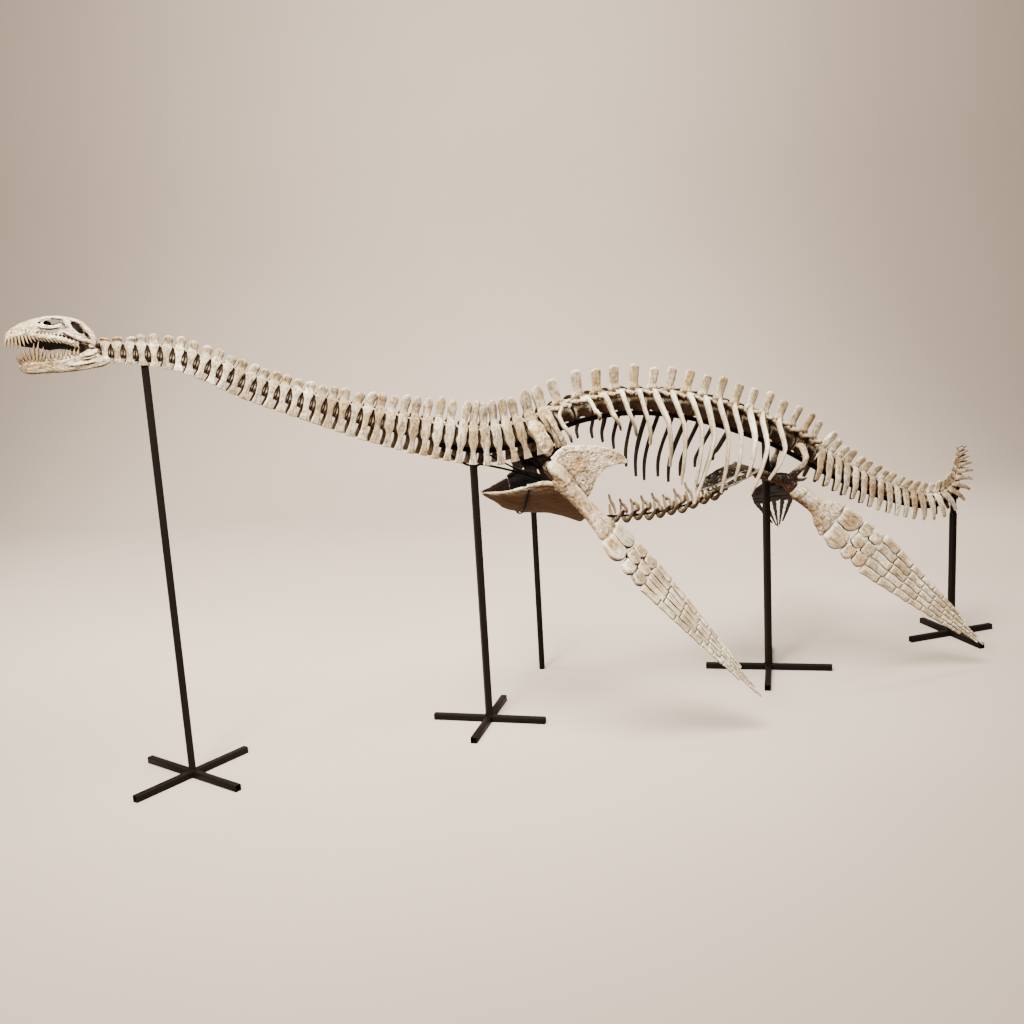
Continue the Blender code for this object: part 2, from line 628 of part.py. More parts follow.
def hip_vertebrae(first, last, sacral_side):
    pieces = [bodies(first, last)]
    for i in range(first, last):
        pieces.append(spine_blade(i, lean=0.05))
    for side in (-1, 1):
        points = [(0.152, side * y, 0.950) for y in (0.010, 0.034, sacral_side)]
        pieces.append(strand(points, [(0.022, 0.013), (0.022, 0.014), (0.017, 0.014)], Vector((1, 0, 0)), 6))
        for i in (last - 2, last - 1):
            middle, pitch = (JOINTS[i] + JOINTS[i + 1]) / 2, JOINTS[i + 1] - JOINTS[i]
            point, t, up = backbone(middle)
            run = [point + ACROSS * (side * y) + up * h for y, h in ((0.012, 0.0), (0.046, -0.006), (0.056, -0.050))]
            pieces.append(strand(run, [(pitch * 0.34, 0.018), (pitch * 0.36, 0.015), (pitch * 0.24, 0.009)], t, 6))
    return node("hip_vertebrae", pieces)


# Belly ribs hang from the rod
ROD_PATH = (
    (-1.192, 0, 1.021), (-1.175, 0, 1.015), (-0.996, 0, 0.953), (-0.918, 0, 0.895),
    (-0.862, 0, 0.787), (-0.795, 0, 0.772), (-0.700, 0, 0.758), (-0.600, 0, 0.748), (-0.500, 0, 0.745),
    (-0.400, 0, 0.750), (-0.300, 0, 0.767), (-0.180, 0, 0.800), (-0.060, 0, 0.850), (-0.040, 0, 0.856),
)


def rod_height(x):
    return float(np.interp(x, [p[0] for p in ROD_PATH], [p[2] for p in ROD_PATH]))


def belly_ribs():
    pieces = []
    count, start, step = 9, -0.640, 0.050
    for k in range(count):
        x = start + step * k
        slope = (rod_height(x + 0.02) - rod_height(x - 0.02)) / 0.04
        lowest = min(rod_height(x + d) - slope * d for d in (-0.028, -0.014, 0, 0.014, 0.028))
        z = lowest - (ROD + 0.0056) * math.hypot(1, slope) ** 2 - 0.0016
        t = Vector((1, 0, slope)).normalized()
        wide, rise = 0.085 + 0.02 * math.sin(k * 0.4), 0.085 + 0.014 * math.sin(1.9 * k)
        half = [(0.0, 0.0, 0.0), (0.010, 0.045, 0.012), (0.020, wide * 0.86, 0.050), (0.036, wide, rise)]
        right = [Vector((x + dx, y, z + dz)) for dx, y, dz in half]
        left = [Vector((p.x, -p.y, p.z)) for p in reversed(right[1:])]
        sizes = [(0.0035, 0.0030), (0.0050, 0.0045), (0.0060, 0.0050), (0.0270, 0.0055)]
        points, ribbon = left + right, sizes + list(reversed(sizes[:-1]))
        pieces.append(strand(points, ribbon, t))
    return node("belly_ribs", pieces)


# Stands

def under(s, drop):
    """A point below the vertebral bodies, and the run's directions there."""
    return backbone(s, above=-(ramp(BODY_RADIUS, s) * FLAT + drop))


def spine_bar(name, first, last, half=BAR_HALF_WIDTH):
    """Flat bar against the undersides of the vertebral bodies, from joint to joint."""
    rings = []
    for i in range(first, last + 1):
        s = JOINTS[i] + (GAP / 2 if i == first else -GAP / 2 if i == last else 0.0)
        point, t, up = under(s, GAP + BAR_DEPTH / 2)
        rings.append(rectangle(point, ACROSS, up, half, BAR_DEPTH / 2))
    return node(name, [loft(rings)])


def bar_bottom(x):
    """Height of the bar's underside at x, along straight lines between joints."""
    ends = [under(s, GAP + BAR_DEPTH)[0] for s in JOINTS]
    ends = ends[:int(np.argmax([p.x for p in ends]))]
    return float(np.interp(x, [p.x for p in ends], [p.z for p in ends]))


def foot(kind):
    """Two square tubes crossed flat on the floor."""
    x, turn, half = STAND_X[kind], STAND_TURN[kind], FOOT_HALF[kind]
    pieces = []
    for angle in (turn, turn + 90):
        way = Vector((math.cos(math.radians(angle)), math.sin(math.radians(angle)), 0))
        centre = Vector((x, 0, TUBE))
        side = Vector((-way.y, way.x, 0))
        pieces.append(loft([rectangle(centre + way * d, side, Vector((0, 0, 1)), TUBE, TUBE)
                            for d in (-half, half)]))
    return pieces


def pole(x, heights, tang=None):
    """Upright tube whose top follows a slope: heights at its front and back edges.
    `tang` is (height, half width) where it narrows to pass between the ribs."""
    rings = [[Vector((x + dx, dy, 0.012)) for dx, dy in ((-TUBE, -TUBE), (TUBE, -TUBE), (TUBE, TUBE), (-TUBE, TUBE))]]
    if tang:
        rings.append([Vector((p.x, p.y, tang[0])) for p in rings[0]])
        rings.append([Vector((p.x, math.copysign(tang[1], p.y), tang[0] + 0.004)) for p in rings[0]])
    rings.append([Vector((p.x, p.y, heights[0] if p.x < x else heights[1])) for p in rings[-1]])
    return loft(rings)


def stand(kind):
    x = STAND_X[kind]
    edges = [bar_bottom(x - TUBE) - GAP, bar_bottom(x + TUBE) - GAP]
    pieces = foot(kind)
    if kind == "neck":
        # No bar runs here: a short cradle plate on the pole touches the vertebral bodies
        s = distance_at(x)
        near = int(np.argmin(np.abs(JOINTS - s)))
        rings = []
        for i in (near - 1, near, near + 1):
            point, _, up = under(JOINTS[i], GAP + 0.003)
            rings.append(rectangle(point, ACROSS, up, 0.010, 0.003))
        pieces.append(loft(rings))
        edges = [under(distance_at(x + d), GAP + 0.004)[0].z for d in (-TUBE, TUBE)]
    pieces.append(pole(x, edges, (0.560, TAIL_BAR_HALF_WIDTH) if kind == "tail" else None))
    return node("stand_" + kind, pieces)


def prop():
    x, y, top = PROP
    up = Vector((0, 0, 1))
    pole_rings = [oval(Vector((x, y, z)), Vector((1, 0, 0)), ACROSS, TUBE, TUBE, 12) for z in (0, top + TUBE)]
    level = bar_bottom(PROP_ARM_X) + BAR_DEPTH / 2
    arm = [(x, y, top), (x - 0.15, y - 0.39, level), (PROP_ARM_X, BAR_HALF_WIDTH + 0.030, level),
           (PROP_ARM_X, BAR_HALF_WIDTH + GAP, level)]
    return node("stand_prop", [loft(pole_rings), strand(arm, [(0.007, 0.007)] * len(arm), up)])


def belly_rod():
    up = Vector((0, 0, 1))
    points = [Vector(p) for p in ROD_PATH]
    points[0].x = STAND_X["shoulder"] + TUBE + GAP
    points[0].z = points[1].z
    points.append(Vector((HIP_STAND_X - TUBE - GAP, 0, ROD_PATH[-1][2])))
    pieces = [strand(points, [(ROD, ROD)] * len(points), up)]
    # Second brace from behind the shoulder stand
    top_x = -1.150
    pieces.append(strand([(top_x, 0, bar_bottom(top_x) - GAP - 0.0002), (top_x, 0, bar_bottom(top_x) - 0.012),
                          (-0.998, 0, 0.953)], [(ROD * 0.8, ROD * 0.8)] * 3, Vector((1, 0, 0))))
    return node("stand_belly_rod", pieces)


def neck_brace():
    """Short brace from the bar down to the front of the shoulder stand."""
    x, end, z = BRACE_X, STAND_X["shoulder"] - TUBE - GAP, 1.022
    slope = (bar_bottom(x + 0.004) - bar_bottom(x - 0.004)) / 0.008
    square = Vector((slope, 0, -1)).normalized()
    top = Vector((x, 0, bar_bottom(x))) + square * GAP
    run = [top, top + square * 0.006, (end - 0.020, 0, z), (end, 0, z)]
    return node("stand_brace", [strand(run, [(ROD, ROD)] * 4, ACROSS)])


def clear_scene():
    for obj in list(bpy.data.objects):
        bpy.data.objects.remove(obj, do_unlink=True)


def build():
    clear_scene()
    counts = [run[0] for run in (NECK, CHEST, BACK, HIP, TAIL, TIP)]
    ends = np.cumsum([0] + counts)
    neck, chest, back, hip, tail = int(ends[1]), int(ends[2]), int(ends[3]), int(ends[4]), int(ends[6])
    skull()
    jaw()
    chain("neck_front", 0, neck // 3)
    chain("neck_middle", neck // 3, 2 * neck // 3)
    chain("neck_rear", 2 * neck // 3, neck)
    chain("shoulder_vertebrae", neck, chest)
    cage_half("ribs_left", chest, back, -1, LEFT_DROP)
    cage_half("ribs_right", chest, back, 1, RIGHT_DROP)
    hip_vertebrae(back, hip, 0.062)
    chain("tail_front", hip, hip + 12)
    chain("tail_rear", hip + 12, tail, waisted=False)
    collar_plate()
    shoulder("shoulder_left", -1, FRONT_LEFT)
    shoulder("shoulder_right", 1, FRONT_RIGHT)
    pelvis("pelvis_left", -1, HIND_LEFT, 0.062)
    pelvis("pelvis_right", 1, HIND_RIGHT, 0.062)
    belly_ribs()
    for name, upper, limb in (("front_left", "humerus", FRONT_LEFT), ("front_right", "humerus", FRONT_RIGHT),
                              ("hind_left", "femur", HIND_LEFT), ("hind_right", "femur", HIND_RIGHT)):
        upper_limb(f"{upper}_{name.split('_')[1]}", limb)
        flipper(f"flipper_{name}", limb)
    for kind in STAND_X:
        stand(kind)
    prop()
    belly_rod()
    neck_brace()
    bar_start = int(np.argmin(np.abs(JOINTS - distance_at(-1.360))))
    spine_bar("stand_bar_neck", bar_start, chest)
    spine_bar("stand_bar_back", chest, hip)
    spine_bar("stand_bar_tail", hip, hip + 18, TAIL_BAR_HALF_WIDTH)


build()
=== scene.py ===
# Looks of the mounted plesiosaur skeleton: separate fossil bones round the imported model, on painted steel stands.
# Metres. X here runs from the middle of the hips, head to -X, and the animal's left side is -Y.
# Every finished mesh is shifted by SHIFT, which puts the hip stand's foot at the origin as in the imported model.

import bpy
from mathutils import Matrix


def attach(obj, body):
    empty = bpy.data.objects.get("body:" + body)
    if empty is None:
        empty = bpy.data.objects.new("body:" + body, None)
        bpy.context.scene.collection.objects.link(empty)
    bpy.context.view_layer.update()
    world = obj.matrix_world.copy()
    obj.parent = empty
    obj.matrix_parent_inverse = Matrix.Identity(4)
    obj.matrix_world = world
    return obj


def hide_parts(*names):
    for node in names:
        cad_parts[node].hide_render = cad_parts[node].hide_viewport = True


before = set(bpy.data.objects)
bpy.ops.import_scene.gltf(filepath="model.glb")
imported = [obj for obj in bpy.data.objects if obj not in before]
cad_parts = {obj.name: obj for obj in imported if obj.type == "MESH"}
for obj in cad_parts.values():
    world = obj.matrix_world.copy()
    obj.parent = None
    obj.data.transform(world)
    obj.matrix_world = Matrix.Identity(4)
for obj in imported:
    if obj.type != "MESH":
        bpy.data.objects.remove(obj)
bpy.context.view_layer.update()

import math
import random

import bmesh
import bpy
import numpy as np
from mathutils import Matrix, Vector, noise

SHIFT = Vector((-0.030, 0, 0))
ALONG = Vector((1, 0, 0))
ACROSS = Vector((0, 1, 0))
UP = Vector((0, 0, 1))

# Backbone, as (x, z) from the skull to the tail tip, and its runs of vertebrae (count, first length, last length)
BACKBONE = (
    (-2.500, 1.545), (-2.240, 1.498), (-1.975, 1.370), (-1.623, 1.233), (-1.317, 1.136), (-1.158, 1.104),
    (-0.989, 1.125), (-0.772, 1.180), (-0.539, 1.186), (-0.270, 1.132), (0.079, 0.995), (0.346, 0.836), (0.590, 0.711),
    (0.790, 0.641), (0.905, 0.640), (0.970, 0.683), (0.999, 0.760), (0.996, 0.852),
)
RUNS = (
    (36, 0.0385, 0.0485), (2, 0.062, 0.066), (14, 0.074, 0.071), (3, 0.060, 0.058), (16, 0.050, 0.044),
    (8, 0.035, 0.020),
)
# Along the backbone, as (distance from the skull, value)
BODY_RADIUS = (
    (0, 0.020), (0.8, 0.024), (1.5, 0.030), (2.2, 0.031), (2.8, 0.033), (3.2, 0.026), (3.6, 0.018), (3.87, 0.005),
)
SPINE_TOP = (
    (0, 0.046), (0.2, 0.076), (0.75, 0.080), (1.05, 0.118), (1.3, 0.150), (1.5, 0.152), (1.75, 0.160), (2.1, 0.150),
    (2.6, 0.156), (2.86, 0.150), (3.0, 0.112), (3.3, 0.086), (3.6, 0.078), (3.75, 0.050), (3.87, 0.016),
)
RIB_DROP = (
    (0, 0.028), (0.2, 0.038), (0.7, 0.056), (1.05, 0.078), (1.55, 0.090), (2.9, 0.085), (3.3, 0.085), (3.6, 0.078),
    (3.75, 0.060), (3.87, 0.022),
)
NECK, CHEST, BACK, HIP, TAIL = 36, 38, 52, 55, 79  # the last vertebra of each run, plus one

# Half widths of the rib cage, behind and at the first short ribs
CAGE_HALF_WIDTH, FRONT_HALF_WIDTH = 0.176, 0.125
FRONT_RIBS = 5


# Colours: sRGB hex to the linear values that Blender wants

def colour(hex_code):
    parts = [int(hex_code[i:i + 2], 16) / 255 for i in (1, 3, 5)]
    return tuple(c / 12.92 if c <= 0.04045 else ((c + 0.055) / 1.055) ** 2.4 for c in parts) + (1.0,)


def add(tree, kind, settings=None, **inputs):
    """A node with its settings; each input is a value or another node's output. Spaces in names are underscores."""
    made = tree.nodes.new(kind)
    for key, value in (settings or {}).items():
        setattr(made, key, value)
    for key, value in inputs.items():
        wanted = key.replace("_", " ")
        socket = next(s for s in made.inputs if s.identifier in (key, wanted) or s.name == wanted)
        if isinstance(value, bpy.types.NodeSocket):
            tree.links.new(value, socket)
        else:
            socket.default_value = value
    return made


def mixed(node):
    """The colour that a Mix node gives."""
    return next(s for s in node.outputs if s.identifier == "Result_Color")


# Smooth curves and plain meshes. A shape is an array of points and a list of faces.

def smooth(rows, steps):
    """Catmull-Rom curve through rows of numbers, with `steps` pieces between neighbours."""
    p = np.array(rows, float)
    p = np.vstack([2 * p[0] - p[1], p, 2 * p[-1] - p[-2]])
    out = []
    for i in range(1, len(p) - 2):
        for k in range(steps):
            t = k / steps
            out.append(0.5 * (2 * p[i] + (p[i + 1] - p[i - 1]) * t
                              + (2 * p[i - 1] - 5 * p[i] + 4 * p[i + 1] - p[i + 2]) * t ** 2
                              + (3 * p[i] - p[i - 1] - 3 * p[i + 1] + p[i + 2]) * t ** 3))
    return np.array(out + [p[-2]])


def ramp(table, s):
    return float(np.interp(s, [row[0] for row in table], [row[1] for row in table]))


STEPS = 24  # points of the path between neighbours of BACKBONE
PATH = smooth(BACKBONE, STEPS)
LEVEL = 16 * STEPS  # where the tail turns up, and X stops growing
ARC = np.concatenate([[0], np.cumsum(np.hypot(*np.diff(PATH, axis=0).T))])
LENGTHS = [a + (b - a) * i / max(n - 1, 1) for n, a, b in RUNS for i in range(n)]
JOINTS = np.concatenate([[0], np.cumsum(LENGTHS)]) * ARC[-1] / sum(LENGTHS)


def backbone(s, above=0.0):
    """(point, direction to the tail, up) at a distance from the skull."""
    x, z = np.interp(s, ARC, PATH[:, 0]), np.interp(s, ARC, PATH[:, 1])
    low, high = np.clip(s - 0.02, 0, ARC[-1]), np.clip(s + 0.02, 0, ARC[-1])
    t = Vector((np.interp(high, ARC, PATH[:, 0]) - np.interp(low, ARC, PATH[:, 0]), 0,
                np.interp(high, ARC, PATH[:, 1]) - np.interp(low, ARC, PATH[:, 1]))).normalized()
    up = Vector((-t.z, 0, t.x))
    return Vector((x, 0, z)) + up * above, t, up


def distance_at(x):
    """Distance from the skull where the backbone passes x."""
    return float(np.interp(x, PATH[:LEVEL, 0], ARC[:LEVEL]))


def vertebra_at(i):
    """(point, direction, up, length, body radius, spine height, rib drop) of vertebra i."""
    middle = (JOINTS[i] + JOINTS[i + 1]) / 2
    point, t, up = backbone(middle)
    return (point, t, up, JOINTS[i + 1] - JOINTS[i], ramp(BODY_RADIUS, middle),
            ramp(SPINE_TOP, middle) * (1 + 0.035 * math.sin(2.3 * i)), ramp(RIB_DROP, middle))


def loft(rings):
    """Closed skin over rings of equal length, turned to face out."""
    count = len(rings[0])
    points = np.array([tuple(p) for ring in rings for p in ring])
    faces = []
    for r in range(len(rings) - 1):
        for i in range(count):
            j = (i + 1) % count
            faces.append((r * count + i, r * count + j, (r + 1) * count + j, (r + 1) * count + i))
    faces.append(tuple(reversed(range(count))))
    faces.append(tuple((len(rings) - 1) * count + i for i in range(count)))
    return outward(points, faces)


def outward(points, faces):
    centre = points.mean(0)
    total = 0.0
    for face in faces:
        a = points[face[0]] - centre
        for b, c in zip(face[1:-1], face[2:]):
            total += a.dot(np.cross(points[b] - centre, points[c] - centre))
    return (points, faces) if total > 0 else (points, [tuple(reversed(f)) for f in faces])


def round_ring(centre, u, v, a, b, sides, square=2.0):
    """Oval or, with `square` above 2, a rounded box."""
    ring = []
    for i in range(sides):
        turn = 2 * math.pi * (i + 0.5) / sides
        c, s = math.cos(turn), math.sin(turn)
        ring.append(centre + u * (a * math.copysign(abs(c) ** (2 / square), c))
                    + v * (b * math.copysign(abs(s) ** (2 / square), s)))
    return ring


def strand(points, sizes, wide, sides=10, steps=4, square=2.0):
    """A smooth bent bar; sizes are half widths along `wide` and across it, one pair for each point."""
    rows = smooth([tuple(p) + tuple(s) for p, s in zip(points, sizes)], steps)
    centres = [Vector(r[:3]) for r in rows]
    rings, last = [], len(rows) - 1
    for k, r in enumerate(rows):
        direction = (centres[min(k + 1, last)] - centres[max(k - 1, 0)]).normalized()
        u = (wide - direction * wide.dot(direction)).normalized()
        v = direction.cross(u)
        a, b = max(r[3], 1e-4), max(r[4], 1e-4)
        cap = direction * (min(a, b) * 0.7)
        rounds = [(0, 1.0)]
        if k == 0:
            rounds = [(-1, 0.35), (-0.6, 0.78)] + rounds
        if k == last:
            rounds += [(0.6, 0.78), (1, 0.35)]
        for beyond, share in rounds:
            rings.append(round_ring(centres[k] + cap * beyond, u, v, a * share, b * share, sides, square))
    return loft(rings)


def sheet(grid, thickness, steps=4, edge=0.45):
    """A bent plate through rows of points, thinner towards its rim."""
    rows = [smooth([tuple(p) for p in row], steps) for row in grid]
    columns = [smooth([row[j] for row in rows], steps) for j in range(len(rows[0]))]
    net = np.array(columns).transpose(1, 0, 2)
    n, m, _ = net.shape
    du, dv = np.gradient(net, axis=0), np.gradient(net, axis=1)
    normal = np.cross(du, dv)
    normal /= np.linalg.norm(normal, axis=2, keepdims=True) + 1e-12
    i, j = np.meshgrid(np.arange(n), np.arange(m), indexing="ij")
    rim = np.minimum(np.minimum(i, n - 1 - i) / steps, np.minimum(j, m - 1 - j) / steps).clip(0, 1)
    half = (thickness / 2 * (edge + (1 - edge) * np.sin(rim * math.pi / 2)))[:, :, None]
    points = np.concatenate([(net + normal * half).reshape(-1, 3), (net - normal * half).reshape(-1, 3)])
    count, faces = n * m, []
    for a in range(n - 1):
        for b in range(m - 1):
            k = a * m + b
            faces.append((k, k + m, k + m + 1, k + 1))
            faces.append((count + k, count + k + 1, count + k + m + 1, count + k + m))
    rim_run = list(range(m)) + [a * m + m - 1 for a in range(1, n)]
    rim_run += [(n - 1) * m + b for b in range(m - 2, -1, -1)] + [a * m for a in range(n - 2, 0, -1)]
    for a, b in zip(rim_run, rim_run[1:] + rim_run[:1]):
        faces.append((a, b, count + b, count + a))
    return outward(points, faces)


def slab(outline, thickness):
    """A flat plate with the given rim of points, thickened across Y."""
    points = [Vector(p) for p in outline]
    half = Vector((0, thickness / 2, 0))
    return loft([[p - half for p in points], [p + half for p in points]])


# Turning shapes into finished objects

def mesh_from(name, shapes):
    points, faces, offset = [], [], 0
    for p, f in shapes:
        points.append(np.asarray(p, float))
        faces += [tuple(i + offset for i in face) for face in f]
        offset += len(p)
    mesh = bpy.data.meshes.new(name)
    mesh.from_pydata(np.concatenate(points).tolist(), [], faces)
    return mesh


def linked(name, mesh):
    obj = bpy.data.objects.new(name, mesh)
    bpy.context.scene.collection.objects.link(obj)
    return obj


def settled(obj):
    """The object with its modifiers applied, as a plain mesh."""
    bpy.context.view_layer.update()
    mesh = bpy.data.meshes.new_from_object(obj.evaluated_get(bpy.context.evaluated_depsgraph_get()))
    obj.modifiers.clear()
    obj.data = mesh
    return obj


def fused(name, shapes, cell, soften=3, holes=(), keep=1.0):
    """Shapes grown into one skin of cells `cell` wide, then softened; `keep` is the share of faces that stay."""
    obj = linked(name, mesh_from(name, shapes))
    if holes:
        cutters = linked(name + "_cut", mesh_from(name + "_cut", holes))
        for piece in (cutters, obj):
            first = piece.modifiers.new("fuse_first", "REMESH")
            first.mode, first.voxel_size = "VOXEL", cell * (0.6 if piece is cutters else 1)
        settled(cutters)
        cut = obj.modifiers.new("cut", "BOOLEAN")
        cut.operation, cut.solver, cut.object = "DIFFERENCE", "EXACT", cutters
    fuse = obj.modifiers.new("fuse", "REMESH")
    fuse.mode, fuse.voxel_size = "VOXEL", cell
    soft = obj.modifiers.new("soften", "SMOOTH")
    soft.factor, soft.iterations = 0.5, soften
    if keep < 1:  # fewer faces for a shape that is repeated many times
        obj.modifiers.new("thin", "DECIMATE").ratio = keep
    settled(obj)
    if holes:
        bpy.data.objects.remove(cutters)
    return obj


def points_of(obj):
    """The mesh's points, as an array."""
    co = np.zeros(len(obj.data.vertices) * 3)
    obj.data.vertices.foreach_get("co", co)
    return co.reshape(-1, 3)


def reshape(obj, move):
    """Moves every point of the mesh; `move` takes and gives an array of points."""
    obj.data.vertices.foreach_set("co", move(points_of(obj)).ravel())
    obj.data.update()
    return obj


def roughen(obj, amount, size, streak=(1, 1, 1)):
    """Uneven surface: each point moves along its normal by a smooth random height."""
    normals = np.zeros(len(obj.data.vertices) * 3)
    obj.data.vertex_normals.foreach_get("vector", normals)

    def raised(co):
        heights = np.array([noise.fractal(Vector(p), 1.0, 2.1, 3) for p in co * np.array(streak) / size])
        return co + normals.reshape(-1, 3) * (heights * amount)[:, None]
    return reshape(obj, raised)


def finish_bone(obj, nodes, material, tone=None):
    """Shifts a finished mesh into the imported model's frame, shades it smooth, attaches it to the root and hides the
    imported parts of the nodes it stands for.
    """
    obj.data.transform(Matrix.Translation(SHIFT))
    obj.data.materials.clear()
    obj.data.materials.append(material)
    obj.data.polygons.foreach_set("use_smooth", [True] * len(obj.data.polygons))
    if tone is not None and "tone" not in obj.data.attributes:
        carry(obj.data, "tone", "FLOAT", [tone] * len(obj.data.vertices))
    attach(obj, "root")
    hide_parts(*nodes)
    return obj


# Geometry Nodes: one bone or tooth copied to each point of a run, and bent bars along drawn lines

def new_tree(name, sockets):
    tree = bpy.data.node_groups.new(name, "GeometryNodeTree")
    tree.interface.new_socket("Geometry", in_out="INPUT", socket_type="NodeSocketGeometry")
    ids = {}
    for label, kind in sockets:
        ids[label] = tree.interface.new_socket(label, in_out="INPUT", socket_type=kind).identifier
    tree.interface.new_socket("Geometry", in_out="OUTPUT", socket_type="NodeSocketGeometry")
    return tree, ids


def uneven_surface(tree, geometry, inputs):
    """Moves the surface along its normals by a smooth random height."""
    bumps = add(tree, "ShaderNodeTexNoise", Scale=inputs["Bumps per metre"], Detail=2.5, Roughness=0.55)
    level = add(tree, "ShaderNodeMath", {"operation": "SUBTRACT"}, Value=bumps.outputs["Fac"], Value_001=0.5)
    height = add(tree, "ShaderNodeMath", {"operation": "MULTIPLY"}, Value=level.outputs[0],
                 Value_001=inputs["Bump height"])
    normal = add(tree, "GeometryNodeInputNormal")
    push = add(tree, "ShaderNodeVectorMath", {"operation": "SCALE"}, Vector=normal.outputs[0], Scale=height.outputs[0])
    return add(tree, "GeometryNodeSetPosition", Geometry=geometry, Offset=push.outputs[0]).outputs[0]


def copies_tree():
    """Copies of one template at points that carry turn, size, lift, drop and tone."""
    tree, ids = new_tree("bones_in_a_row", (("Template", "NodeSocketObject"), ("Material", "NodeSocketMaterial"),
                                            ("Bump height", "NodeSocketFloat"), ("Bumps per metre", "NodeSocketFloat")))
    inputs = tree.nodes.new("NodeGroupInput").outputs
    own = {label: add(tree, "GeometryNodeInputNamedAttribute", {"data_type": kind}, Name=label).outputs["Attribute"]
           for label, kind in (("turn", "FLOAT_VECTOR"), ("size", "FLOAT_VECTOR"), ("lift", "FLOAT_VECTOR"),
                               ("drop", "FLOAT_VECTOR"), ("rise", "FLOAT"), ("fall", "FLOAT"))}
    template = add(tree, "GeometryNodeObjectInfo", Object=inputs["Template"])
    turn = add(tree, "FunctionNodeEulerToRotation", Euler=own["turn"])
    placed = add(tree, "GeometryNodeInstanceOnPoints", Points=inputs["Geometry"], Instance=template.outputs["Geometry"],
                 Rotation=turn.outputs[0], Scale=own["size"])
    real = add(tree, "GeometryNodeRealizeInstances", Geometry=placed.outputs[0])
    up = add(tree, "ShaderNodeVectorMath", {"operation": "SCALE"}, Vector=own["lift"],
             Scale=own["rise"])
    down = add(tree, "ShaderNodeVectorMath", {"operation": "SCALE"}, Vector=own["drop"],
               Scale=own["fall"])
    both = add(tree, "ShaderNodeVectorMath", {"operation": "ADD"}, Vector=up.outputs[0], Vector_001=down.outputs[0])
    moved = add(tree, "GeometryNodeSetPosition", Geometry=real.outputs[0], Offset=both.outputs[0])
    rough = uneven_surface(tree, moved.outputs[0], inputs)
    done = add(tree, "GeometryNodeSetMaterial", Geometry=rough, Material=inputs["Material"])
    out = tree.nodes.new("NodeGroupOutput")
    tree.links.new(done.outputs[0], out.inputs[0])
    return tree, ids


def bars_tree():
    """Smooth bent bars along drawn lines that carry thick, flat and tone."""
    tree, ids = new_tree("bones_along_lines", (("Material", "NodeSocketMaterial"), ("Points", "NodeSocketInt"),
                                               ("Flatness", "NodeSocketFloat"), ("Sides", "NodeSocketInt"),
                                               ("Bump height", "NodeSocketFloat"),
                                               ("Bumps per metre", "NodeSocketFloat")))
    inputs = tree.nodes.new("NodeGroupInput").outputs
    own = {label: add(tree, "GeometryNodeInputNamedAttribute", {"data_type": kind}, Name=label).outputs["Attribute"]
           for label, kind in (("flat", "FLOAT_VECTOR"), ("around", "FLOAT_VECTOR"), ("thick", "FLOAT"),
                               ("along", "FLOAT"))}
    lines = add(tree, "GeometryNodeMeshToCurve", Mesh=inputs["Geometry"])
    bent = add(tree, "GeometryNodeCurveSplineType", {"spline_type": "CATMULL_ROM"}, Curve=lines.outputs[0])
    even = add(tree, "GeometryNodeResampleCurve", Curve=bent.outputs[0], Count=inputs["Points"])
    turned = add(tree, "GeometryNodeSetCurveNormal", {"mode": "FREE"}, Curve=even.outputs[0],
                 Normal=own["flat"])
    length = add(tree, "GeometryNodeSplineParameter").outputs["Length"]
    marked = add(tree, "GeometryNodeStoreNamedAttribute", {"data_type": "FLOAT", "domain": "POINT"},
                 Geometry=turned.outputs[0], Name="along", Value=length)
    profile = add(tree, "GeometryNodeCurvePrimitiveCircle", Resolution=inputs["Sides"], Radius=1.0)
    around = add(tree, "GeometryNodeStoreNamedAttribute", {"data_type": "FLOAT_VECTOR", "domain": "POINT"},
                 Geometry=profile.outputs[0], Name="around", Value=add(tree, "GeometryNodeInputPosition").outputs[0])
    squash = add(tree, "ShaderNodeCombineXYZ", X=inputs["Flatness"], Y=1.0, Z=1.0)
    oval = add(tree, "GeometryNodeTransform", Geometry=around.outputs[0], Scale=squash.outputs[0])
    skin = add(tree, "GeometryNodeCurveToMesh", Curve=marked.outputs[0], Profile_Curve=oval.outputs[0],
               Scale=own["thick"], Fill_Caps=True)
    real = add(tree, "GeometryNodeRealizeInstances", Geometry=skin.outputs[0])
    ring = add(tree, "ShaderNodeVectorMath", {"operation": "SCALE"}, Vector=own["around"],
               Scale=0.012)
    run = add(tree, "ShaderNodeMath", {"operation": "MULTIPLY"}, Value=own["along"], Value_001=0.13)
    both = add(tree, "ShaderNodeVectorMath", {"operation": "ADD"}, Vector=ring.outputs[0],
               Vector_001=add(tree, "ShaderNodeCombineXYZ", Z=run.outputs[0]).outputs[0])
    fibred = add(tree, "GeometryNodeStoreNamedAttribute", {"data_type": "FLOAT_VECTOR", "domain": "POINT"},
                 Geometry=real.outputs[0], Name="grain", Value=both.outputs[0])
    rough = uneven_surface(tree, fibred.outputs[0], inputs)
    done = add(tree, "GeometryNodeSetMaterial", Geometry=rough, Material=inputs["Material"])
    out = tree.nodes.new("NodeGroupOutput")
    tree.links.new(done.outputs[0], out.inputs[0])
    return tree, ids


def run_tree(name, mesh, tree, ids, values):
    obj = linked(name, mesh)
    modifier = obj.modifiers.new("bones", "NODES")
    modifier.node_group = tree
    for label, value in values.items():
        modifier[ids[label]] = value
    return settled(obj)


def carry(mesh, label, kind, values):
    layer = mesh.attributes.new(label, kind, "POINT")
    layer.data.foreach_set("vector" if kind == "FLOAT_VECTOR" else "value", np.array(values, float).ravel())


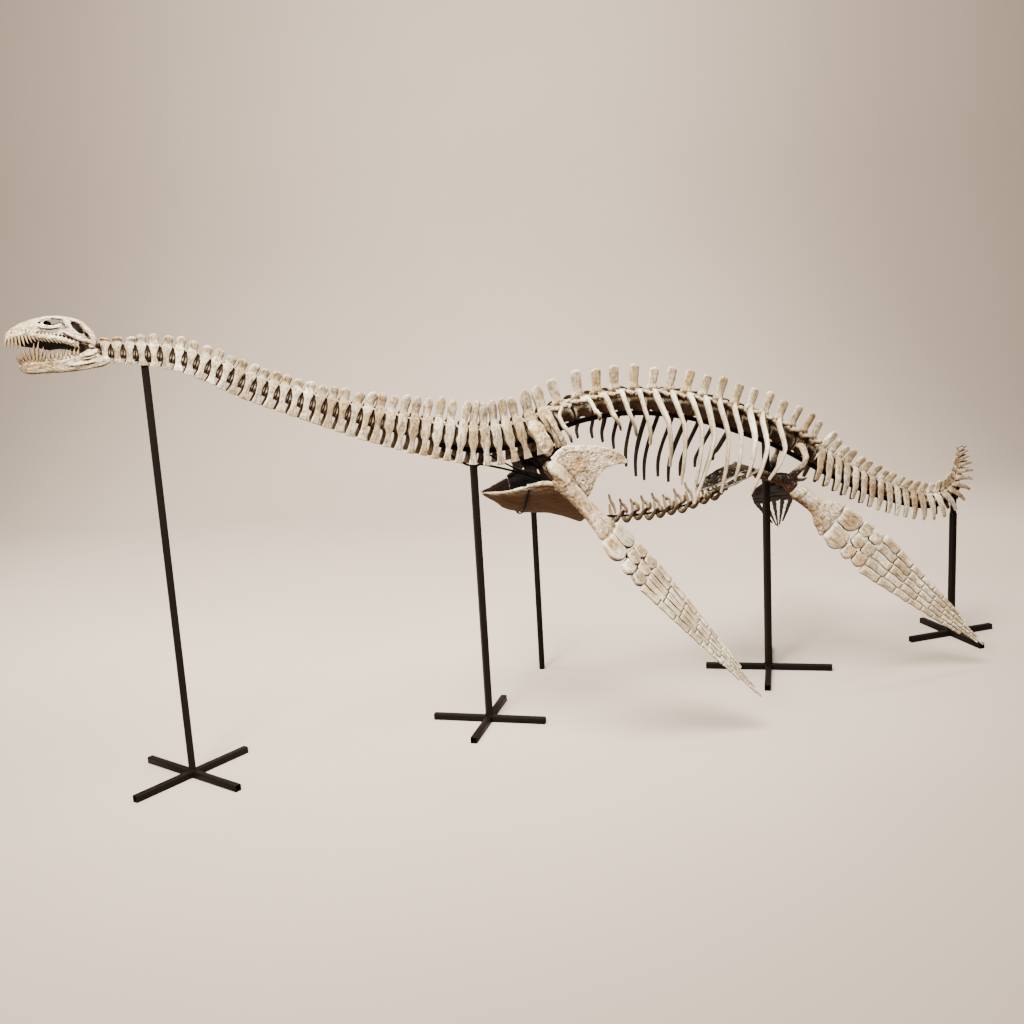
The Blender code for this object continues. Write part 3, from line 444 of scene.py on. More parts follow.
def copies(name, template, spots, material, bump=0.0006, per_metre=60.0):
    """Spots are dicts with at, axes (three directions), size, and perhaps lift, drop and tone."""
    mesh = bpy.data.meshes.new(name)
    mesh.from_pydata([tuple(s["at"]) for s in spots], [], [])
    turns = [Matrix([s["axes"][0], s["axes"][1], s["axes"][2]]).transposed().to_euler() for s in spots]
    carry(mesh, "turn", "FLOAT_VECTOR", [tuple(t) for t in turns])
    carry(mesh, "size", "FLOAT_VECTOR", [tuple(s["size"]) for s in spots])
    carry(mesh, "lift", "FLOAT_VECTOR", [tuple(s.get("lift", (0, 0, 0))) for s in spots])
    carry(mesh, "drop", "FLOAT_VECTOR", [tuple(s.get("drop", (0, 0, 0))) for s in spots])
    carry(mesh, "tone", "FLOAT", [s.get("tone", 0.5) for s in spots])
    return run_tree(name, mesh, *COPIES, {"Template": template, "Material": material, "Bump height": bump,
                                          "Bumps per metre": per_metre})


def bars(name, lines, material, flatness=0.65, points=26, sides=10, bump=0.0006, per_metre=60.0):
    """Lines are dicts with points, thick (half widths), flat (direction) and tone."""
    verts, edges, thick, flat, tone = [], [], [], [], []
    for line in lines:
        first = len(verts)
        verts += [tuple(p) for p in line["points"]]
        edges += [(first + k, first + k + 1) for k in range(len(line["points"]) - 1)]
        thick += list(line["thick"])
        flat += [tuple(line["flat"])] * len(line["points"])
        tone += [line.get("tone", 0.5)] * len(line["points"])
    mesh = bpy.data.meshes.new(name)
    mesh.from_pydata(verts, edges, [])
    carry(mesh, "thick", "FLOAT", thick)
    carry(mesh, "flat", "FLOAT_VECTOR", flat)
    carry(mesh, "tone", "FLOAT", tone)
    return run_tree(name, mesh, *BARS, {"Material": material, "Points": points, "Flatness": flatness, "Sides": sides,
                                        "Bump height": bump, "Bumps per metre": per_metre})


COPIES = copies_tree()
BARS = bars_tree()
chance = random.Random(7)


# Materials

def fossil(name, light, mid, dark, stain=0.5, crevice_shade="#1C120B"):
    """Mineralised bone, cleaned and sealed: matte, finely porous, cream where handled, with brown stain, and painted
    shade in hollows, gaps, on undersides and where the mesh marks it.
    """
    made = bpy.data.materials.new(name)
    made.use_nodes = True
    tree = made.node_tree
    shader = tree.nodes["Principled BSDF"]
    place = add(tree, "ShaderNodeTexCoord").outputs["Object"]
    # Cloudy patches about 110 mm across
    patches = add(tree, "ShaderNodeTexNoise", Vector=place, Scale=9.0, Detail=5.0, Roughness=0.62)
    blend = add(tree, "ShaderNodeMapRange", Value=patches.outputs["Fac"], From_Min=0.42, From_Max=0.66)
    base = add(tree, "ShaderNodeMix", {"data_type": "RGBA"}, Factor_Float=blend.outputs[0], A_Color=colour(mid),
               B_Color=colour(light))
    # Blotches of stain about 12 mm across
    mottle = add(tree, "ShaderNodeTexNoise", Vector=place, Scale=85.0, Detail=7.0, Roughness=0.72)
    spots = add(tree, "ShaderNodeMapRange", Value=mottle.outputs["Fac"], From_Min=0.47, From_Max=0.68, To_Max=stain)
    stained = add(tree, "ShaderNodeMix", {"data_type": "RGBA"}, Factor_Float=spots.outputs[0],
                  A_Color=mixed(base), B_Color=colour(dark))
    # Dark streaks along the grain of each bone, about 4 mm wide
    tone = add(tree, "ShaderNodeAttribute", {"attribute_name": "tone"}).outputs["Fac"]
    along = add(tree, "ShaderNodeAttribute", {"attribute_name": "grain"}).outputs["Vector"]
    has_grain = add(tree, "ShaderNodeMath", {"operation": "GREATER_THAN"}, Value_001=0.0001,
                    Value=add(tree, "ShaderNodeVectorMath", {"operation": "LENGTH"}, Vector=along).outputs["Value"])
    own = add(tree, "ShaderNodeVectorMath", {"operation": "ADD"}, Vector=along, Vector_001=tone)
    fibres = add(tree, "ShaderNodeTexNoise", Vector=own.outputs[0], Scale=230.0, Detail=5.0, Roughness=0.62)
    lines = add(tree, "ShaderNodeMapRange", Value=fibres.outputs["Fac"], From_Min=0.49, From_Max=0.66, To_Max=0.72)
    streak = add(tree, "ShaderNodeMath", {"operation": "MULTIPLY"}, Value=lines.outputs[0],
                 Value_001=has_grain.outputs[0])
    streaked = add(tree, "ShaderNodeMix", {"data_type": "RGBA"}, Factor_Float=streak.outputs[0], A_Color=mixed(stained),
                   B_Color=colour(dark))
    # Each bone has its own tone, and some are stained all over
    shade = add(tree, "ShaderNodeMapRange", Value=tone, To_Min=0.58, To_Max=1.06)
    toned = add(tree, "ShaderNodeMix", {"data_type": "RGBA", "blend_type": "MULTIPLY"}, Factor_Float=1.0,
                A_Color=mixed(streaked), B_Color=shade.outputs[0])
    # Painted shade: points that the mesh marks for shade are multiplied towards dark brown
    painted_shade_share = add(tree, "ShaderNodeAttribute", {"attribute_name": "painted_shade"}).outputs["Fac"]
    with_painted_shade = add(tree, "ShaderNodeMix", {"data_type": "RGBA", "blend_type": "MULTIPLY"}, Factor_Float=painted_shade_share,
                  A_Color=mixed(toned), B_Color=colour("#2B1B11"))
    # Edges are rubbed pale, and hollows get painted shade that is brown and goes nearly black in the deepest gaps
    shape = add(tree, "ShaderNodeNewGeometry").outputs["Pointiness"]
    edge = add(tree, "ShaderNodeMapRange", Value=shape, From_Min=0.515, From_Max=0.60, To_Max=0.65)
    rubbed = add(tree, "ShaderNodeMix", {"data_type": "RGBA"}, Factor_Float=edge.outputs[0],
                 A_Color=mixed(with_painted_shade), B_Color=colour(light))
    # Gaps up to 45 mm wide count as hollows for the painted shade
    gap = add(tree, "ShaderNodeAmbientOcclusion", {"samples": 8, "only_local": True}, Distance=0.045)
    depth = add(tree, "ShaderNodeMapRange", Value=gap.outputs["AO"], From_Min=0.84, From_Max=0.38)
    # Painted shade on surfaces that face down
    facing = add(tree, "ShaderNodeSeparateXYZ", Vector=add(tree, "ShaderNodeNewGeometry").outputs["Normal"])
    underside_shade = add(tree, "ShaderNodeMapRange", Value=facing.outputs["Z"], From_Min=0.40, From_Max=-0.85, To_Max=0.78)
    hollow_shade = add(tree, "ShaderNodeMapRange", Value=shape, From_Min=0.494, From_Max=0.45, To_Max=0.92)
    both = add(tree, "ShaderNodeMath", {"operation": "MAXIMUM"}, Value=depth.outputs[0], Value_001=hollow_shade.outputs[0])
    # Random mottle adds some brown stain to the painted shade
    worn = add(tree, "ShaderNodeMath", {"operation": "MULTIPLY_ADD", "use_clamp": True}, Value=mottle.outputs["Fac"],
               Value_001=0.5, Value_002=-0.25)
    lower = add(tree, "ShaderNodeMath", {"operation": "ADD"}, Value=both.outputs[0], Value_001=underside_shade.outputs[0])
    filled = add(tree, "ShaderNodeMath", {"operation": "ADD", "use_clamp": True}, Value=lower.outputs[0],
                 Value_001=worn.outputs[0])
    brown = add(tree, "ShaderNodeMapRange", Value=filled.outputs[0], From_Min=0.12, From_Max=0.70)
    first = add(tree, "ShaderNodeMix", {"data_type": "RGBA"}, Factor_Float=brown.outputs[0],
                A_Color=mixed(rubbed), B_Color=colour(dark))
    black = add(tree, "ShaderNodeMapRange", Value=both.outputs[0], From_Min=0.45, From_Max=1.0)
    final = add(tree, "ShaderNodeMix", {"data_type": "RGBA"}, Factor_Float=black.outputs[0],
                A_Color=mixed(first), B_Color=colour(crevice_shade))
    tree.links.new(mixed(final), shader.inputs["Base Color"])
    # Pores about 2.5 mm apart, drawn coarse enough to show, over 6 mm unevenness
    pores = add(tree, "ShaderNodeTexVoronoi", Vector=place, Scale=400.0)
    pits = add(tree, "ShaderNodeMapRange", Value=pores.outputs["Distance"], From_Min=0.0, From_Max=0.35)
    swell = add(tree, "ShaderNodeTexNoise", Vector=place, Scale=170.0, Detail=8.0, Roughness=0.68)
    relief = add(tree, "ShaderNodeMath", {"operation": "MULTIPLY_ADD"}, Value=pits.outputs[0], Value_001=0.30,
                 Value_002=swell.outputs["Fac"])
    ridged = add(tree, "ShaderNodeMath", {"operation": "MULTIPLY_ADD"}, Value=streak.outputs[0], Value_001=-0.7,
                 Value_002=relief.outputs[0])
    bump = add(tree, "ShaderNodeBump", Strength=0.9, Distance=0.0034, Height=ridged.outputs[0])
    tree.links.new(bump.outputs[0], shader.inputs["Normal"])
    gloss = add(tree, "ShaderNodeMapRange", Value=mottle.outputs["Fac"], To_Min=0.62, To_Max=0.86)
    tree.links.new(gloss.outputs[0], shader.inputs["Roughness"])
    shader.inputs["IOR"].default_value = 1.5
    shader.inputs["Specular IOR Level"].default_value = 0.10
    return made


def painted_steel():
    """Mild steel tube and bar under satin black brushed paint, with a brown cast and scuffs at the edges."""
    made = bpy.data.materials.new("satin_black_painted_steel")
    made.use_nodes = True
    tree = made.node_tree
    shader = tree.nodes["Principled BSDF"]
    place = add(tree, "ShaderNodeTexCoord").outputs["Object"]
    # Brush marks about 26 mm apart, drawn out along the upright tubes
    stretch = add(tree, "ShaderNodeMapping", Vector=place, Scale=(1.0, 1.0, 0.15))
    cloud = add(tree, "ShaderNodeTexNoise", Vector=stretch.outputs[0], Scale=38.0, Detail=6.0, Roughness=0.6)
    mix = add(tree, "ShaderNodeMapRange", Value=cloud.outputs["Fac"], From_Min=0.35, From_Max=0.70)
    base = add(tree, "ShaderNodeMix", {"data_type": "RGBA"}, Factor_Float=mix.outputs[0], A_Color=colour("#020101"),
               B_Color=colour("#080604"))
    shape = add(tree, "ShaderNodeNewGeometry").outputs["Pointiness"]
    edge = add(tree, "ShaderNodeMapRange", Value=shape, From_Min=0.53, From_Max=0.62, To_Max=0.6)
    worn = add(tree, "ShaderNodeMix", {"data_type": "RGBA"}, Factor_Float=edge.outputs[0],
               A_Color=mixed(base), B_Color=colour("#1C1511"))
    tree.links.new(mixed(worn), shader.inputs["Base Color"])
    gloss = add(tree, "ShaderNodeMapRange", Value=cloud.outputs["Fac"], To_Min=0.42, To_Max=0.62)
    tree.links.new(gloss.outputs[0], shader.inputs["Roughness"])
    shader.inputs["Specular IOR Level"].default_value = 0.05
    # Orange peel about 2 mm across
    orange_peel = add(tree, "ShaderNodeTexNoise", Vector=place, Scale=500.0, Detail=2.0)
    bump = add(tree, "ShaderNodeBump", Strength=0.15, Distance=0.0006, Height=orange_peel.outputs["Fac"])
    tree.links.new(bump.outputs[0], shader.inputs["Normal"])
    return made


BONE = fossil("mineralised_bone_cream", "#F6E2BD", "#B6976C", "#3B2614", stain=0.80)
BONE_BROWN = fossil("mineralised_bone_brown", "#A48964", "#624A30", "#1F140B", stain=0.80)
# Painted shade: a dark copy of the bone, for the far-side bones and the inside of the mouth and head that lie in shade
BONE_PAINTED_SHADE = fossil("mineralised_bone_painted_shade", "#2B1D12", "#180F08", "#070301", stain=0.75, crevice_shade="#030100")
TOOTH = fossil("fossil_tooth_enamel", "#B89C72", "#7C603E", "#2A1B0E", stain=0.50)
STEEL = painted_steel()


# Vertebra templates: X along the back, Z up, `pitch` long, with a body of radius `r`

def weighted(obj, rise_from, rise_to, fall_from, fall_to, side_from):
    """Marks how far each point follows the spine's tip (rise) and the rib's foot (fall)."""
    co = points_of(obj)
    rise = ((co[:, 2] - rise_from) / (rise_to - rise_from)).clip(0, 1)
    wide = ((np.abs(co[:, 1]) - side_from) / (0.25 * side_from)).clip(0, 1)
    fall = ((-co[:, 2] - fall_from) / (fall_to - fall_from)).clip(0, 1.2) * wide
    carry(obj.data, "rise", "FLOAT", rise)
    carry(obj.data, "fall", "FLOAT", fall)


def painted_shade(obj, amount):
    """Marks how much painted shade darkens each point; `amount` takes the points."""
    carry(obj.data, "painted_shade", "FLOAT", np.clip(amount(points_of(obj)), 0, 1))


def grain(obj, along=(1, 0, 0), stretch=0.13):
    """Marks the coordinates that run with the grain, in metres and drawn out along one direction."""
    co = points_of(obj)
    way = np.array(Vector(along).normalized())
    carry(obj.data, "grain", "FLOAT_VECTOR", co - np.outer(co @ way, way) * (1 - stretch))
    return obj


def centrum(pitch, r, waist=0.82, sides=18):
    """Spool-shaped body with a rim at each end."""
    rows = ((-0.475, 0.86), (-0.455, 0.99), (-0.40, 1.04), (-0.30, 0.96), (-0.12, waist + 0.02), (0.0, waist),
            (0.12, waist + 0.02), (0.30, 0.96), (0.40, 1.04), (0.455, 0.99), (0.475, 0.86))
    return loft([round_ring(Vector((x * pitch, 0, 0)), ACROSS, UP, r * k, r * k * 0.97, sides) for x, k in rows])


def blade(pitch, r, top, foot, waist, head, lean=0.0, thick=0.15, base=0.45, round_part=0.2):
    """Neural arch narrowing to a flat spine with a rounded top; foot, waist and head are half widths in pitches."""
    rows = ((0.55 * r, foot, base), (1.15 * r, foot * 0.95, base * 0.92), (1.75 * r, foot * 0.86, base * 0.55))
    rings = [round_ring(Vector((0, 0, z)), ALONG, ACROSS, pitch * a, r * b, 14, 2.6) for z, a, b in rows]
    start = 1.75 * r
    for k, a, b in ((0.14, foot * 0.45 + waist * 0.55, thick * 1.5), (0.30, waist, thick),
                    (0.50, waist * 0.4 + head * 0.6, thick * 0.95),
                    (1 - 1.15 * round_part, head, thick * 1.05), (1 - 0.80 * round_part, head * 0.96, thick * 1.1),
                    (1 - 0.45 * round_part, head * 0.80, thick * 1.05),
                    (1 - 0.18 * round_part, head * 0.55, thick * 0.9),
                    (1 - 0.04 * round_part, head * 0.28, thick * 0.65), (1.0, head * 0.10, thick * 0.35)):
        z = start + (top - start) * k
        rings.append(round_ring(Vector((lean * pitch * k, 0, z)), ALONG, ACROSS, pitch * a, r * b, 14, 2.3))
    return loft(rings)


def joint_lugs(pitch, r, height=1.5, out=0.40, bulk=1.0):
    """Zygapophyses: two lugs reaching forwards and two reaching back over the next vertebra."""
    made = []
    for side in (-1, 1):
        made.append(strand([(-0.10 * pitch, side * out * 0.9 * r, height * r * 0.86),
                            (-0.40 * pitch, side * out * r, height * r),
                            (-0.60 * pitch, side * out * 1.05 * r, height * r * 1.08)],
                           [(r * 0.20 * bulk, r * 0.24 * bulk), (r * 0.19 * bulk, r * 0.19 * bulk),
                            (r * 0.17, r * 0.13)],
                           ACROSS, 10))
        made.append(strand([(0.10 * pitch, side * out * 0.8 * r, height * r * 1.06),
                            (0.40 * pitch, side * out * 0.9 * r, height * r * 1.16),
                            (0.58 * pitch, side * out * 0.95 * r, height * r * 1.18)],
                           [(r * 0.18 * bulk, r * 0.22 * bulk), (r * 0.17 * bulk, r * 0.17 * bulk),
                            (r * 0.15, r * 0.13)],
                           ACROSS, 10))
    return made


def neck_template(front):
    """Front neck bones are pinched like an hourglass; those behind have a block of a body with a slim rib below."""
    pitch, r, top, drop = 0.046, 0.026, 0.110, 0.070
    shapes = [centrum(pitch, r * 0.92), blade(pitch, r, top, 0.42, 0.40 if front else 0.33, 0.44 if front else 0.40,
                                              lean=0.08, thick=0.26, base=0.52, round_part=0.34)]
    shapes += joint_lugs(pitch, r, 1.50, 0.46)
    # Filling between the bodies, standing for the shade in the gaps, and the recessed arch wall over the nerve canal;
    # the painted shade below darkens both
    shapes.append(loft([round_ring(Vector((0, 0, z * r)), ALONG, ACROSS, pitch * 0.60, r * w, 14, 4.0)
                        for z, w in ((-0.8, 0.50), (-0.3, 0.66), (0.2, 0.70), (0.9, 0.66), (1.6, 0.44))]))
    widths = (0.38, 0.43, 0.29, 0.25, 0.27, 0.37, 0.46) if front else (0.34, 0.42, 0.38, 0.41, 0.22, 0.26, 0.38)
    for side in (-1, 1):  # side of the arch and body, running down into the rib
        line = [(0.0, side * 0.40 * r, 2.1 * r), (-0.02 * pitch, side * 0.78 * r, 1.35 * r),
                (0.0, side * 0.96 * r, 0.55 * r),
                (0.03 * pitch, side * 1.02 * r, -0.30 * r), (0.06 * pitch, side * 1.12 * r, -1.10 * r),
                (0.09 * pitch, side * 1.22 * r, -1.9 * r), (0.10 * pitch, side * 1.30 * r, -drop)]
        depths = (0.16, 0.20, 0.20, 0.19, 0.16, 0.14, 0.10)
        shapes.append(strand(line, [(pitch * w, r * d) for w, d in zip(widths, depths)], ALONG, 16, 4, 2.8))
    made = fused("neck_template", shapes, 0.0019, 1, keep=0.60)
    weighted(made, 1.6 * r, top, 0.35 * r, drop, 0.85 * r)
    # Painted shade: dark on the body and filling inside the ribs and below the arch, and on the far (+Y) side
    painted_shade(made, lambda co: np.maximum(
        ((0.97 - np.abs(co[:, 1]) / r) / 0.10).clip(0, 1) * ((1.45 - co[:, 2] / r) / 0.3).clip(0, 1),
        ((co[:, 1] / r - 0.5) / 0.4).clip(0, 0.75)))
    return grain(made, (0.05, 0, 1)), pitch, r, top, drop


def back_template():
    pitch, r, top = 0.072, 0.031, 0.155
    shapes = [centrum(pitch, r, 0.70),
              blade(pitch, r, top, 0.46, 0.245, 0.30, lean=0.03, thick=0.24, base=0.60, round_part=0.12)]
    shapes += joint_lugs(pitch, r, 1.50, 0.55, 1.6)
    for side in (-1, 1):
        shapes.append(strand([(0, side * 0.30 * r, 1.25 * r), (0, side * 1.1 * r, 1.55 * r),
                              (0.02 * pitch, side * 2.0 * r, 1.70 * r)],
                             [(pitch * 0.26, r * 0.34), (pitch * 0.17, r * 0.28), (pitch * 0.20, r * 0.32)],
                             ALONG, 12))
    made = fused("back_template", shapes, 0.0024, 1, keep=0.60)
    weighted(made, 2.0 * r, top, 9.0, 10.0, 1.0)
    # Painted shade: darker towards the bottom of each vertebra
    painted_shade(made, lambda co: 1.10 - (co[:, 2] / r - 0.35) * 1.7)
    return grain(made, (0, 0, 1)), pitch, r, top, 0.0


def tail_template():
    pitch, r, top, drop = 0.048, 0.028, 0.095, 0.085
    shapes = [centrum(pitch, r, 0.88),
              blade(pitch, r, top, 0.46, 0.37, 0.40, lean=0.45, thick=0.22, base=0.55, round_part=0.26)]
    shapes += joint_lugs(pitch, r, 1.25, 0.42)
    for side in (-1, 1):
        shapes.append(strand([(-0.10 * pitch, side * 0.30 * r, 1.5 * r), (-0.02 * pitch, side * 0.98 * r, 0.6 * r),
                              (0.16 * pitch, side * 1.25 * r, -0.5 * r), (0.36 * pitch, side * 1.45 * r, -1.5 * r),
                              (0.50 * pitch, side * 1.52 * r, -drop)],
                             [(pitch * 0.30, r * 0.20), (pitch * 0.38, r * 0.24), (pitch * 0.34, r * 0.20),
                              (pitch * 0.29, r * 0.16),
                              (pitch * 0.20, r * 0.10)], Vector((1, 0, 0.1)), 14, 4, 2.4))
    made = fused("tail_template", shapes, 0.0021, 1, keep=0.60)
    weighted(made, 1.7 * r, top, 0.35 * r, drop, 0.9 * r)
    # Painted shade: dark on the body inside the ribs and below the arch, and low on the far (+Y) side
    painted_shade(made, lambda co: np.maximum(
        ((0.92 - np.abs(co[:, 1]) / r) / 0.18).clip(0, 1) * ((1.2 - co[:, 2] / r) / 0.4).clip(0, 1),
        ((co[:, 1] / r - 0.5) / 0.4).clip(0, 0.8) * ((1.6 - co[:, 2] / r) / 0.4).clip(0, 1)))
    return grain(made, (0.3, 0, 1)), pitch, r, top, drop


def vertebra_spots(first, last, template):
    _, pitch, r, top, drop = template
    spots = []
    for i in range(first, last):
        point, t, up, length, radius, tip, foot = vertebra_at(i)
        twist = chance.uniform(-0.05, 0.05)
        x = (t + up * chance.uniform(-0.04, 0.04)).normalized()
        y = (ACROSS + up * twist).normalized()
        z = x.cross(y).normalized()
        y = z.cross(x)
        size = (length / pitch * 0.97, radius / r * chance.uniform(0.96, 1.04), radius / r)
        spots.append({"at": point, "axes": (x, y, z), "size": size,
                      "lift": up * (tip - top * size[2]) + t * chance.uniform(-0.006, 0.006),
                      "drop": -up * (foot - drop * size[2]) if drop else (0, 0, 0),
                      "tone": chance.uniform(0.15, 0.95)})
    return spots


def spine_of_bones():
    neck, neck_rear, back, tail = neck_template(True), neck_template(False), back_template(), tail_template()
    for name, first, last, template, nodes in (
            ("neck_vertebrae_front", 0, 12, neck, ["neck_front"]),
            ("neck_vertebrae_middle", 12, 24, neck, ["neck_middle"]),
            ("neck_vertebrae_rear", 24, NECK, neck_rear, ["neck_rear"]),
            ("back_vertebrae", CHEST, BACK, back, ["ribs_left", "ribs_right"]),
            ("tail_vertebrae_front", HIP, HIP + 12, tail, ["tail_front"]),
            ("tail_vertebrae_rear", HIP + 12, TAIL, tail, ["tail_rear"])):
        made = copies(name, template[0], vertebra_spots(first, last, template), BONE)
        finish_bone(made, nodes, BONE)
    made = copies("shoulder_vertebrae_bones", neck_rear[0], vertebra_spots(NECK, CHEST, neck_rear), BONE)
    finish_bone(made, ["shoulder_vertebrae"], BONE)
    lobes = []
    for i in range(NECK, CHEST):
        point, t, up, _, radius, _, _ = vertebra_at(i)
        for side in (-1, 1):
            run = [point + ACROSS * (side * radius * 0.8) + up * 0.030, point + ACROSS * (side * 0.052) + up * 0.018,
                   point + ACROSS * (side * 0.074) - up * 0.026 + t * 0.006,
                   point + ACROSS * (side * 0.080) - up * 0.066 + t * 0.012,
                   point + ACROSS * (side * 0.078) - up * 0.096 + t * 0.014]
            broad = 1.0 if i == NECK else 0.42
            sizes = ((0.020, 0.014), (0.030, 0.012), (0.027, 0.0105), (0.029, 0.009), (0.012, 0.006))
            lobes.append(strand(run, [(w * broad, d) for w, d in sizes], t, 14, 4, 2.5))
    made = fused("shoulder_vertebrae_ribs", lobes, 0.0024, 2)
    roughen(made, 0.0030, 0.022)
    grain(made, (0.2, 0, 1))
    finish_bone(made, ["shoulder_vertebrae"], BONE, tone=0.85)
    made = copies("hip_vertebrae_bones", back[0], vertebra_spots(BACK, HIP, back), BONE)
    finish_bone(made, ["hip_vertebrae"], BONE)
    for template in (neck, neck_rear, back, tail):
        bpy.data.objects.remove(template[0])


# Near ribs, as (crown x, middle x, middle z, end x, end z), and the ends of the far ribs as (x, z)
LEFT_RIBS = (
    (-0.900, -0.892, 1.138, -0.865, 1.085), (-0.765, -0.760, 1.186, -0.748, 1.158),
    (-0.700, -0.690, 1.160, -0.662, 1.110), (-0.632, -0.622, 1.150, -0.598, 1.080),
    (-0.560, -0.552, 1.130, -0.540, 1.040), (-0.503, -0.492, 1.120, -0.480, 0.955),
    (-0.430, -0.425, 1.090, -0.435, 0.879), (-0.352, -0.352, 1.075, -0.375, 0.862),
    (-0.290, -0.304, 1.035, -0.381, 0.797), (-0.232, -0.238, 1.030, -0.262, 0.826),
    (-0.168, -0.183, 1.020, -0.200, 0.866), (-0.100, -0.125, 1.000, -0.145, 0.872),
    (-0.048, -0.070, 0.970, -0.133, 0.800), (0.030, 0.010, 0.960, -0.046, 0.852),
)
RIGHT_ENDS = (
    (-0.870, 1.040), (-0.805, 1.050), (-0.732, 1.055), (-0.669, 1.048), (-0.625, 1.027), (-0.578, 0.994),
    (-0.526, 0.915), (-0.485, 0.870), (-0.448, 0.850), (-0.386, 0.858), (-0.339, 0.830), (-0.285, 0.850),
    (-0.215, 0.880), (-0.130, 0.900),
)


def rib_line(i, side, crown, middle, end, out=CAGE_HALF_WIDTH):
    point, t, up = vertebra_at(i)[:3]
    line = backbone(distance_at(crown))[0].z
    head = point + up * 0.046
    points = [Vector((head.x, side * 0.034, head.z - 0.004)),
              Vector((head.x * 0.45 + crown * 0.55, side * 0.066, line + 0.050)),
              Vector((crown, side * (0.030 + out * 0.46), line + 0.030)),
              Vector(((crown + middle[0]) / 2, side * out * 0.90, (line + middle[1]) / 2 + 0.004)),
              Vector((middle[0], side * out, middle[1])),
              Vector((middle[0] * 0.45 + end[0] * 0.55, side * out, middle[1] * 0.48 + end[1] * 0.52)),
              Vector((end[0], side * out * 0.86, end[1]))]
    k = 1.0 + 0.14 * math.sin(2.1 * i + side)
    thick = [0.0125, 0.0140, 0.0140 * k, 0.0130 * k, 0.0122 * k, 0.0112, 0.0085]
    return {"points": points, "thick": thick, "flat": t, "tone": chance.uniform(0.25, 1.0)}


def rib_cage():
    lines = [rib_line(CHEST + k, -1, row[0], row[1:3], row[3:], FRONT_HALF_WIDTH if k < FRONT_RIBS else CAGE_HALF_WIDTH)
             for k, row in enumerate(LEFT_RIBS)]
    finish_bone(bars("left_ribs", lines, BONE, flatness=0.60, points=34, sides=12), ["ribs_left"], BONE)
    lines = []
    for k, end in enumerate(RIGHT_ENDS):
        point = vertebra_at(CHEST + k)[0]
        crown = point.x * 0.55 + end[0] * 0.45 - 0.008
        middle = (crown * 0.25 + end[0] * 0.75 + 0.010, max(point.z * 0.55 + end[1] * 0.45, end[1] + 0.03) - 0.02)
        lines.append(rib_line(CHEST + k, 1, crown, middle, end))
    # The far (right) ribs take the painted-shade bone
    finish_bone(bars("right_ribs", lines, BONE_PAINTED_SHADE, flatness=0.60, points=34, sides=12), ["ribs_right"], BONE_PAINTED_SHADE)


# Limbs, as (root, length direction, trailing edge direction, length, broadest half width, upper bone's share)
LIMBS = {
    "front_left": ((-0.980, -0.240, 0.985), (0.58, -0.277, -0.768), (0.80, 0.57, 0.15), 1.12, 0.088, 0.25),
    "front_right": ((-0.950, 0.240, 0.985), (0.27, 0.90, -0.33), (0.35, 0.0, 0.93), 1.06, 0.088, 0.25),
    "hind_left": ((0.095, -0.105, 0.794), (0.696, -0.26, -0.675), (0.672, -0.067, 0.726), 1.050, 0.092, 0.205),
    "hind_right": ((0.113, 0.105, 0.800), (0.50, 0.76, -0.42), (0.90, -0.33, 0.05), 1.00, 0.092, 0.205),
}


def limb_axes(which):
    root, length_way, edge_way, length, half, share = LIMBS[which]
    a = Vector(length_way).normalized()
    c = Vector(edge_way)
    c = (c - a * c.dot(a)).normalized()
    return Vector(root), a, c, a.cross(c), length, half, share


def upper_bone(which, piece, node):
    """Humerus or femur: knobbed head, fluted shaft, broad flat lower end with two facets."""
    root, a, c, n, length, half, share = limb_axes(which)
    reach = length * share
    flare = 0.66 if "front" in which else 0.88
    rows = ((-0.015, 0.012, 0.012, 2), (0.0, 0.024, 0.023, 2), (0.06, 0.034, 0.032, 2), (0.14, 0.037, 0.034, 2),
            (0.26, 0.034, 0.029, 2.2), (0.42, 0.033, 0.024, 2.3), (0.58, 0.036, 0.021, 2.4),
            (0.74, half * flare * 0.74, 0.019, 2.6),
            (0.88, half * flare * 0.91, 0.0175, 2.8), (0.96, half * flare, 0.0155, 3.0),
            (0.995, half * flare * 0.95, 0.0125, 3.0),
            (1.0, half * flare * 0.88, 0.008, 3.0))
    rings = [round_ring(root + a * (reach * k), c, n, w, d, 36, q) for k, w, d, q in smooth(rows, 3)]
    shapes = [loft(rings)]
    if "front" in which:  # the head stands out beyond the socket
        top = root + (-n if n.y > 0 else n) * (0.016 if "left" in which else 0.0)
        shapes.append(strand([top - a * 0.046, top - a * 0.012, top + a * 0.040],
                             [(0.024, 0.018), (0.032, 0.024), (0.032, 0.022)],
                             c, 18, 4, 2.3))
    knob = root + a * 0.035 - n * 0.018
    shapes.append(strand([knob - c * 0.004, knob + a * 0.03, knob + a * 0.07 + n * 0.010],
                         [(0.020, 0.016), (0.018, 0.016), (0.010, 0.008)], c, 12))
    made = fused(piece, shapes, 0.0026, 2)
    roughen(made, 0.0022, 0.020)
    roughen(made, 0.0008, 0.006)
    grain(made, a)
    # The far (right) humerus and femur take the painted-shade bone
    finish_bone(made, [node], BONE_PAINTED_SHADE if "right" in which else BONE, tone=0.6)


def long_template():
    """Small limb bone: hourglass, flat, with swollen ends."""
    rows = ((-0.5, 0.62, 0.45), (-0.488, 0.90, 0.75), (-0.43, 1.0, 0.95), (-0.30, 0.94, 0.90), (-0.12, 0.87, 0.80),
            (0.02, 0.85, 0.77), (0.15, 0.87, 0.80), (0.30, 0.93, 0.88), (0.43, 0.99, 0.93), (0.488, 0.88, 0.72),
            (0.5, 0.60, 0.42))
    shape = loft([round_ring(Vector((x, 0, 0)), ACROSS, UP, w, d, 12, 2.8) for x, w, d in rows])
    made = linked("finger_template", mesh_from("finger_template", [shape]))
    carry(made.data, "grain", "FLOAT_VECTOR", points_of(made) * (0.006, 0.011, 0.006))
    return made


